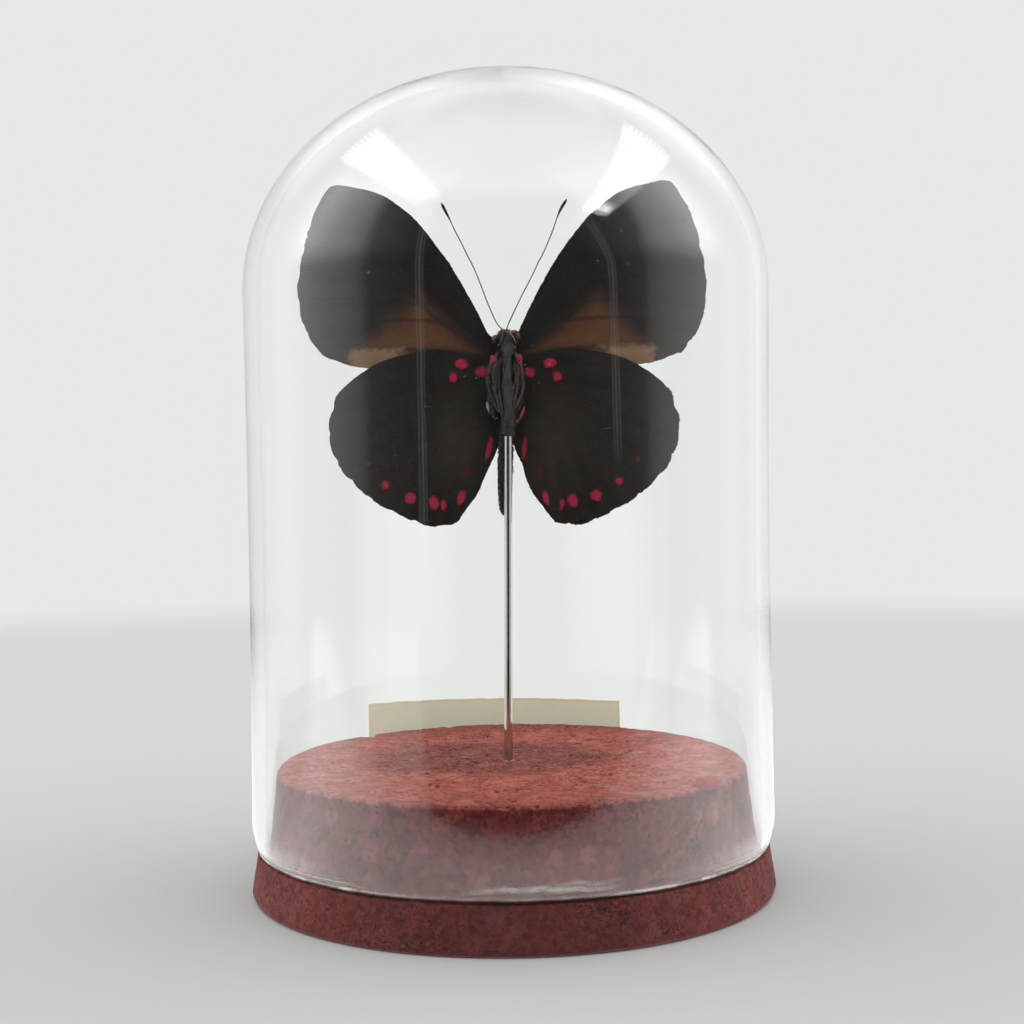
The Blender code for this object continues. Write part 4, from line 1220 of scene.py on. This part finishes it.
def glue_ring():
    """A low crumbly ring round the rod's foot: a circle's radius and height strayed by noise along it."""
    around = np.linspace(0, 2 * np.pi, 90, endpoint=False)[:, None]
    about = np.linspace(0, 2 * np.pi, 14, endpoint=False)[None, :]
    wander = smooth_noise(np.stack([np.cos(around), np.sin(around), 0 * around], -1) * 2, 0.7, 12)
    thick = 0.05 + 0.16 * wander
    radius = 0.74 + 0.16 * (wander - 0.5) + thick * np.cos(about)
    place = np.stack(np.broadcast_arrays(ROD_FOOT[0] + radius * np.cos(around), ROD_FOOT[1] + radius * np.sin(around),
                                         CORK_TOP - 0.05 + 0.7 * thick * np.sin(about)), -1)
    return ringed(place, looped=True)


def label_surface(settings):
    """A closed strip round the glass: its section runs up the outside and down the inside, carried by the bearing."""
    angle = np.linspace(*LABEL_ANGLES, 120)[:, None]
    up = np.linspace(0, 1, 22)
    share = np.concatenate([up, up[::-1]])[None, :]
    outer = np.concatenate([np.ones(22), np.zeros(22)])[None, :]
    span = LABEL_SPAN[1] - LABEL_SPAN[0]
    ragged = 0.12 * (smooth_noise(np.stack([angle * 60, 0 * angle, 0 * angle], -1), 3.0, 2) - 0.5)
    away = (LABEL_ANGLES[1] - angle) / (LABEL_ANGLES[1] - LABEL_ANGLES[0])
    height = LABEL_SPAN[0] + span * share + ragged * (share * 2 - 1) + 0.75 * away ** 2 * share
    lift = settings.gap / MM + settings.thickness / MM * outer
    radius = glass_radius(height) + lift + 0.05
    place = np.stack(np.broadcast_arrays(radius * np.sin(angle), radius * np.cos(angle), height), -1)
    sides = np.minimum(angle - LABEL_ANGLES[0], LABEL_ANGLES[1] - angle) * GLASS_RADIUS
    edge = np.minimum(np.minimum(share, 1 - share) * span, sides)
    return ringed(place, edge=edge)


def film_and_highlight_band(bearings, heights, steps, rows, cover):
    """A closed skin 0.02 thick just outside the glass; its cover is a function of the bearing and height."""
    angle = np.radians(np.linspace(*bearings, steps))[:, None]
    up = np.linspace(heights[0], heights[1], rows)
    height = np.concatenate([up, up[::-1]])[None, :]
    outer = np.concatenate([np.ones(rows), np.zeros(rows)])[None, :]
    radius = glass_radius(height) + 0.035 + 0.02 * outer
    place = np.stack(np.broadcast_arrays(radius * np.sin(angle), radius * np.cos(angle), height), -1)
    return ringed(place, looped=bearings[1] - bearings[0] == 360, cover=cover(np.degrees(angle), height))


def rim_and_highlight_cover(bearing, height):
    """A narrow bell of the height at the rim's foot and a fainter one above it, both broken along the bearing: the
    lower is a frosted rim with a painted highlight on it, the upper a painted highlight line.
    """
    place = np.stack(np.broadcast_arrays(bearing * 0.7, 0 * bearing, 0 * bearing), -1)
    broken = smooth_noise(place, 2.6, 3)
    sides = 0.25 + 0.75 * smooth_step(np.abs(bearing - 180), 8, 26)
    low = 0.75 * np.exp(-((height - 7.55) / 0.22) ** 2) * (0.35 + 0.65 * smooth_step(broken, 0.3, 0.7)) * sides
    high = (0.40 * sides * np.exp(-((height - 8.35 - 0.1 * broken) / 0.10) ** 2)
            * smooth_step(smooth_noise(place, 9.0, 5), 0.4, 0.7))
    return low + high


def smear_and_reflection_cover(bearing, height):
    """Two wandering bells of the height, fading out at both ends of the smear, which is partly glue residue and partly
    a painted reflection of the rim and the cork's edge.
    """
    place = np.stack(np.broadcast_arrays(bearing, 0 * bearing, 0 * bearing), -1)
    wander = 8.9 + 1.0 * (smooth_noise(place, 9.0, 4) - 0.5) + 0.5 * (smooth_noise(place, 2.5, 6) - 0.5)
    upper = wander + 0.8 + 0.5 * (smooth_noise(place, 6.0, 9) - 0.5)
    start, end = SMEAR_BAND[0]
    ends = np.clip(np.sin(np.pi * (bearing - start) / (end - start)), 0, 1) ** 0.7
    low = 0.36 * np.exp(-((height - wander) / 0.38) ** 2)
    high = 0.26 * np.exp(-((height - upper) / 0.30) ** 2) * smooth_step(place[..., 0], 176, 166)
    return (low + high) * ends


# Stage

def floor_disc(settings):
    """A pale floor sheet that fades out before the viewer and with distance, so that no edge shows."""
    material, w = new_material("pale_floor")
    place = w.place()
    x, y = w.put("SeparateXYZ", {"Vector": place}).node.outputs[:2]
    beyond = w.plus(w.times(w.sum("MAXIMUM", w.less(x, 65.0), 0.0), 0.41),
                    w.times(w.sum("MAXIMUM", w.less(-65.0, x), 0.0), 1.17))
    front = w.step(w.plus(y, beyond), -132.0, -108.0)
    far = w.step(w.put("VectorMath", {0: place}, 1, operation="LENGTH"), 640.0, 420.0)
    grain = w.mix(w.noise(place, 6.0, 4.0), scaled(settings.floor_colour, 0.985), scaled(settings.floor_colour, 1.0))
    path = w.put("LightPath").node.outputs
    near = w.times(w.step(y, -135.0, -70.0, 0.75, 2.55), w.step(y, -30.0, 14.0, 1.0, 0.30))
    near = w.times(near, w.step(y, 420.0, 60.0))
    glow = w.times(path["Is Glossy Ray"], near)
    cover = w.times(w.times(front, far), w.less(1.0, path["Is Transmission Ray"]))
    finish_material(w, {"Base Color": grain, "Roughness": 0.9, "Specular IOR Level": 0.1,
                        "Emission Color": (1.0, 1.0, 1.0), "Emission Strength": glow, "Alpha": cover})
    mesh = bpy.data.meshes.new("floor")
    angle = np.linspace(0, 2 * np.pi, 96, endpoint=False)
    ring = np.stack([660 * np.cos(angle), 660 * np.sin(angle), np.full(96, -0.05)], -1) * MM
    mesh.from_pydata(ring, [], [tuple(range(96))])
    mesh.materials.append(material)
    floor = bpy.data.objects.new("floor", mesh)
    bpy.context.scene.collection.objects.link(floor)


def studio_light(settings):
    """Soft light from all round, its mirror image in the glass, and the backdrop, by the kind of ray.

    Light on surfaces grows with height. The mirrored room is dark before the object and brightens
    with the bearing, with two banks of ceiling tubes and two upright strips. Bearings are in degrees
    off the viewer, and ceiling places are across and along over up.
    """
    world = bpy.data.worlds.new("studio")
    bpy.context.scene.world = world
    world.use_nodes = True
    w = Wiring(world.node_tree)
    x, y, z = w.put("SeparateXYZ", {"Vector": w.put("TexCoord")}).node.outputs
    bearing = w.times(w.sum("ARCTAN2", x, w.times(y, -1.0)), math.degrees(1))
    side = w.sum("ABSOLUTE", bearing)
    level = w.times(w.sum("ARCSINE", z), math.degrees(1))
    path = w.put("LightPath").node.outputs
    inside = w.sum("GREATER_THAN", path["Transmission Depth"], 2.5)

    room = w.ramp(side, ROOM_STOPS, 180.0)
    boost = w.times(w.step(level, 8.0, 20.0, 0.0, 1.25), w.step(side, 113.0, 95.0))
    behind = w.times(w.step(level, 20.0, 34.0, 0.0, 0.34), w.step(side, 120.0, 140.0))
    behind = w.times(behind, w.step(side, 180.0, 166.0))
    mirrored = w.times(room, w.plus(w.plus(boost, behind), 1.0))
    mirrored = w.times(mirrored, w.step(bearing, 105.0, 140.0, 1.0, 1.13))
    ceiling = w.times(w.step(level, 52.0, 68.0, 1.02, 0.34), w.step(side, 150.0, 178.0, 1.0, 0.90))
    mirrored = w.put("Mix", {0: w.step(level, 40.0, 54.0), 2: mirrored, 3: ceiling}, data_type="FLOAT")

    def between(value, low, high, soft):
        """1 between low and high, and 0 outside them, with soft edges."""
        return w.times(w.step(value, low - soft, low + soft), w.step(value, high + soft, high - soft))

    def strip(at, first, second, band, levels):
        """Two bright lines with a dimmer band between them."""
        lines = w.plus(between(at, *first, 0.2), between(at, *second, 0.2))
        return w.times(w.plus(lines, w.times(between(at, *band, 0.2), 0.45)), between(level, *levels, 1.0))

    up = w.sum("MAXIMUM", z, 0.05)
    across = w.sum("DIVIDE", x, up)
    along = w.sum("DIVIDE", y, up)
    slanted = w.plus(across, w.times(w.less(along, 0.5), 0.2))
    bank = w.plus(w.times(between(across, -0.87, -0.54, 0.03), between(along, -0.87, 0.50, 0.06)),
                  w.times(between(slanted, 0.52, 0.91, 0.03), between(along, -1.05, 0.50, 0.05)))
    counted = w.put("Mix", {0: w.sum("GREATER_THAN", x, 0.0), 2: across, 3: slanted}, data_type="FLOAT")
    tube = w.sum("PINGPONG", counted, 0.018)
    bank = w.times(bank, w.step(tube, 0.002, 0.016, 1.4, 3.2))
    bank = w.times(bank, w.step(along, -0.7, 0.5, 0.62, 0.80))
    low_end = w.times(w.step(slanted, 0.92, 0.78), w.step(along, -0.74, -0.92, 0.0, 8.5))
    bank = w.times(bank, w.plus(1.0, w.times(low_end, w.step(slanted, 0.50, 0.56))))
    slant = w.plus(bearing, w.times(level, 0.3))
    strips = w.times(w.plus(strip(bearing, *LEFT_STRIP), strip(slant, *RIGHT_STRIP)), 0.55)
    mirrored = w.plus(w.plus(mirrored, bank), strips)
    mirrored = w.sum("MAXIMUM", mirrored, w.times(inside, w.step(side, 20.0, 42.0, 0.0, 0.62)))

    above = w.step(z, -0.1, 1.0, 0.15, settings.overhead)
    lit = w.times(above, w.put("MapRange", {"Value": y, "From Min": -1.0, "To Min": 0.85, "To Max": 1.05}))
    lit = w.times(lit, w.plus(0.52, w.times(w.sum("POWER", w.sum("ABSOLUTE", x), 1.5), 1.05)))

    bounced = w.sum("GREATER_THAN", path["Diffuse Depth"], 0.5)
    direct = w.less(1.0, w.sum("MAXIMUM", bounced, w.sum("GREATER_THAN", path["Glossy Depth"], 0.5)))
    seen = w.times(w.sum("MAXIMUM", path["Is Camera Ray"], path["Is Transmission Ray"]), direct)
    glossy = w.times(w.sum("GREATER_THAN", path["Glossy Depth"], 0.5), w.less(1.0, bounced))
    tone = w.put("CombineColor", {0: lit, 1: lit, 2: lit})
    mirror_tone = w.put("CombineColor", {0: mirrored, 1: mirrored, 2: mirrored})
    glow = w.ramp(w.less(180.0, side), BACKDROP_STOPS, 12.0)
    glow = w.mix(path["Is Camera Ray"], glow, (0.88, 0.88, 0.88))
    backdrop = w.mix(1.0, tuple(settings.backdrop), glow, "MULTIPLY")
    below = w.times(w.times(w.step(level, -8.0, -8.5), w.step(side, 80.0, 50.0)), inside)
    mirror_tone = w.mix(below, mirror_tone, (0.37, 0.155, 0.112))
    shown = w.mix(seen, w.mix(glossy, tone, mirror_tone), backdrop)
    w.put("OutputWorld", {"Surface": w.put("Background", {"Color": shown, "Strength": 1.0})})


def place_camera(settings):
    """The camera before the object, turned by its roll, its pitch and then its pan."""
    lens = bpy.data.cameras.new("viewer")
    lens.lens = settings.focal
    lens.sensor_width = 36
    lens.clip_start = 0.01
    camera = bpy.data.objects.new("viewer", lens)
    bpy.context.scene.collection.objects.link(camera)
    turn = (Matrix.Rotation(-CAMERA_PAN, 4, "Z") @ Matrix.Rotation(math.pi / 2 - CAMERA_PITCH, 4, "X")
            @ Matrix.Rotation(CAMERA_ROLL, 4, "Z"))
    camera.matrix_world = Matrix.Translation(CAMERA_PLACE) @ turn
    bpy.context.scene.camera = camera


# Operators

class BUTTERFLY_OT_glass(bpy.types.Operator):
    """Make the blown glass dome"""
    bl_idname = "butterfly.glass"
    bl_label = "Glass dome"

    def execute(self, context):
        settings = context.scene.butterfly_glass
        make_piece("blown_glass_dome", [glass_surface(settings)], [glass_material(settings)],
                   ("glass_dome",), sharp=80.0)
        return {"FINISHED"}


class BUTTERFLY_OT_cork(bpy.types.Operator):
    """Make the pitted cork base"""
    bl_idname = "butterfly.cork"
    bl_label = "Cork base"

    def execute(self, context):
        settings = context.scene.butterfly_cork
        make_piece("crumb_cork_base", [cork_surface(settings), knob_surface()], [cork_material(settings)],
                   ("cork_base",))
        return {"FINISHED"}


class BUTTERFLY_OT_wings(bpy.types.Operator):
    """Make the four scaled wings"""
    bl_idname = "butterfly.wings"
    bl_label = "Wings"

    def execute(self, context):
        settings = context.scene.butterfly_wings
        below = wing_material("wing_underside", settings)
        above = wing_material("wing_upper_side", settings, upper=True)
        for side in ("left", "right"):
            make_wing(f"scaled_forewing_{side}", side, False, (below, above), settings)
            make_wing(f"scaled_hindwing_{side}", side, True, (below, above), settings)
        return {"FINISHED"}


class BUTTERFLY_OT_body(bpy.types.Operator):
    """Make the haired body with its eyes, legs and abdomen"""
    bl_idname = "butterfly.body"
    bl_label = "Body"

    def execute(self, context):
        settings = context.scene.butterfly_body
        skin, sheath = tuple(settings.skin_colour), tuple(settings.sheath_colour)
        materials = [
            body_material("horny_skin", skin, 0.6, 0.6),
            body_material("dried_sheath", scaled(sheath, 0.86), 0.42, 0.34, 2.8, 0.24, 0.6),
            eye_material(settings),
            body_material("brown_hair", (0.045, 0.028, 0.018), 0.3, 0.6),
            body_material("leg_skin", (0.037, 0.032, 0.026), 0.45, 0.42, 2.0, 0.12, 0.5),
            body_material("red_scales", (0.46, 0.050, 0.085), 0.5, 0.7, 1.5, 0.08),
            # Pale fibre, and the pale tuft and slivers that paint a highlight on a leg and glints
            body_material("pale_fibre_and_glint", (0.66, 0.64, 0.60), 0.2, 0.6, 1.1),
            body_material("loose_scales", scaled(skin, 1.7), 0.35, 0.55, 2.6),
            body_material("rosy_leg", (0.085, 0.046, 0.044), 0.6, 0.45, 1.9, 0.06),
            body_material("yellow_hair", (0.130, 0.080, 0.038), 0.3, 0.6),
            body_material("pink_hair", (0.52, 0.22, 0.20), 0.3, 0.6, 1.3),
        ]
        make_piece("haired_body", body_surfaces(settings), materials, ("butterfly_body",), sharp=70.0)
        return {"FINISHED"}


class BUTTERFLY_OT_antennae(bpy.types.Operator):
    """Make the two clubbed antennae"""
    bl_idname = "butterfly.antennae"
    bl_label = "Antennae"

    def execute(self, context):
        settings = context.scene.butterfly_body
        horn = body_material("antenna_horn", scaled(settings.skin_colour, 0.9), 0.5, 0.5)
        for side, points in (("left", ANTENNA_LEFT), ("right", ANTENNA_RIGHT)):
            run = curve_through(points, 240)
            share = np.linspace(0, 1, 240)
            radius = ANTENNA_SHAFT + (ANTENNA_CLUB - ANTENNA_SHAFT) * smooth_step(share, 0.84, 0.95)
            radius = radius * (1 - 0.55 * smooth_step(share, 0.975, 1.0)) * (1 + 0.10 * np.sin(share * 2 * np.pi * 44))
            make_piece(f"ringed_antenna_{side}", [tubes(run, radius, 12)], [horn], (f"antenna_{side}",))
        return {"FINISHED"}


class BUTTERFLY_OT_rod(bpy.types.Operator):
    """Make the steel rod, its sleeve and the glue at its foot"""
    bl_idname = "butterfly.rod"
    bl_label = "Rod and sleeve"

    def execute(self, context):
        settings = context.scene.butterfly_rod
        radius, outer = settings.radius / MM, settings.sleeve_radius / MM
        rod = leaning(ROD_START, ROD_HEAD[2], 90)
        make_piece("drawn_rod", [tubes(rod, radius, 56)], [steel_material(settings)], ("steel_rod",))
        low, high = SLEEVE_SPAN
        share = np.linspace(0, 1, 60)
        crimp = outer * (1 - 0.05 * np.sin(np.pi * share)) * np.minimum(1, 0.80 + 3.5 * np.minimum(share, 1 - share))
        sleeve = tubes(leaning(low, high, 60), crimp, 48, flatten=crimp * 0.96)
        dark = body_material("shrunk_sleeve", tuple(settings.sleeve_colour), 1.2, 0.5, 1.2, 0.03)
        make_piece("shrunk_sleeve", [sleeve], [dark], ("rod_collar",))
        make_piece("foot_glue", [glue_ring()], [dust_material()])
        return {"FINISHED"}


class BUTTERFLY_OT_label(bpy.types.Operator):
    """Make the bare paper label and the whitish film on the rim, with its painted highlights and reflection"""
    bl_idname = "butterfly.label"
    bl_label = "Label"

    def execute(self, context):
        settings = context.scene.butterfly_label
        make_piece("bare_label", [label_surface(settings)], [paper_material(settings)], ("paper_label",))
        film = [film_and_highlight_band(*RIM_BAND, 720, 14, rim_and_highlight_cover), film_and_highlight_band(*SMEAR_BAND, 260, 40, smear_and_reflection_cover)]
        make_piece("rim_film_and_highlight", film, [film_and_highlight_material()])
        return {"FINISHED"}


class BUTTERFLY_OT_stage(bpy.types.Operator):
    """Set the pale floor, the soft studio light and the camera"""
    bl_idname = "butterfly.stage"
    bl_label = "Stage"

    def execute(self, context):
        settings = context.scene.butterfly_stage
        floor_disc(settings)
        studio_light(settings)
        place_camera(settings)
        context.scene.view_settings.view_transform = "Standard"
        return {"FINISHED"}


OPERATORS = (BUTTERFLY_OT_glass, BUTTERFLY_OT_cork, BUTTERFLY_OT_wings, BUTTERFLY_OT_body,
             BUTTERFLY_OT_antennae, BUTTERFLY_OT_rod, BUTTERFLY_OT_label, BUTTERFLY_OT_stage)
SETTINGS = {"butterfly_glass": GlassSettings, "butterfly_cork": CorkSettings, "butterfly_wings": WingSettings,
            "butterfly_body": BodySettings, "butterfly_rod": RodSettings, "butterfly_label": LabelSettings,
            "butterfly_stage": StageSettings}


class BUTTERFLY_PT_panel(bpy.types.Panel):
    """The butterfly's sizes, colours and makers"""
    bl_label = "Butterfly under glass"
    bl_idname = "BUTTERFLY_PT_panel"
    bl_space_type = "VIEW_3D"
    bl_region_type = "UI"
    bl_category = "Butterfly"

    def draw(self, context):
        for key, group in SETTINGS.items():
            box = self.layout.box()
            for name in group.__annotations__:
                box.prop(getattr(context.scene, key), name)
        for operator in OPERATORS:
            self.layout.operator(operator.bl_idname)


def register():
    for group in SETTINGS.values():
        bpy.utils.register_class(group)
    for operator in (*OPERATORS, BUTTERFLY_PT_panel):
        bpy.utils.register_class(operator)
    for key, group in SETTINGS.items():
        setattr(bpy.types.Scene, key, PointerProperty(type=group))


def unregister():
    for key in SETTINGS:
        delattr(bpy.types.Scene, key)
    for operator in (BUTTERFLY_PT_panel, *reversed(OPERATORS), *SETTINGS.values()):
        bpy.utils.unregister_class(operator)


def main():
    register()
    for operator in OPERATORS:
        getattr(bpy.ops.butterfly, operator.bl_idname.split(".")[1])()


if __name__ == "__main__":
    main()
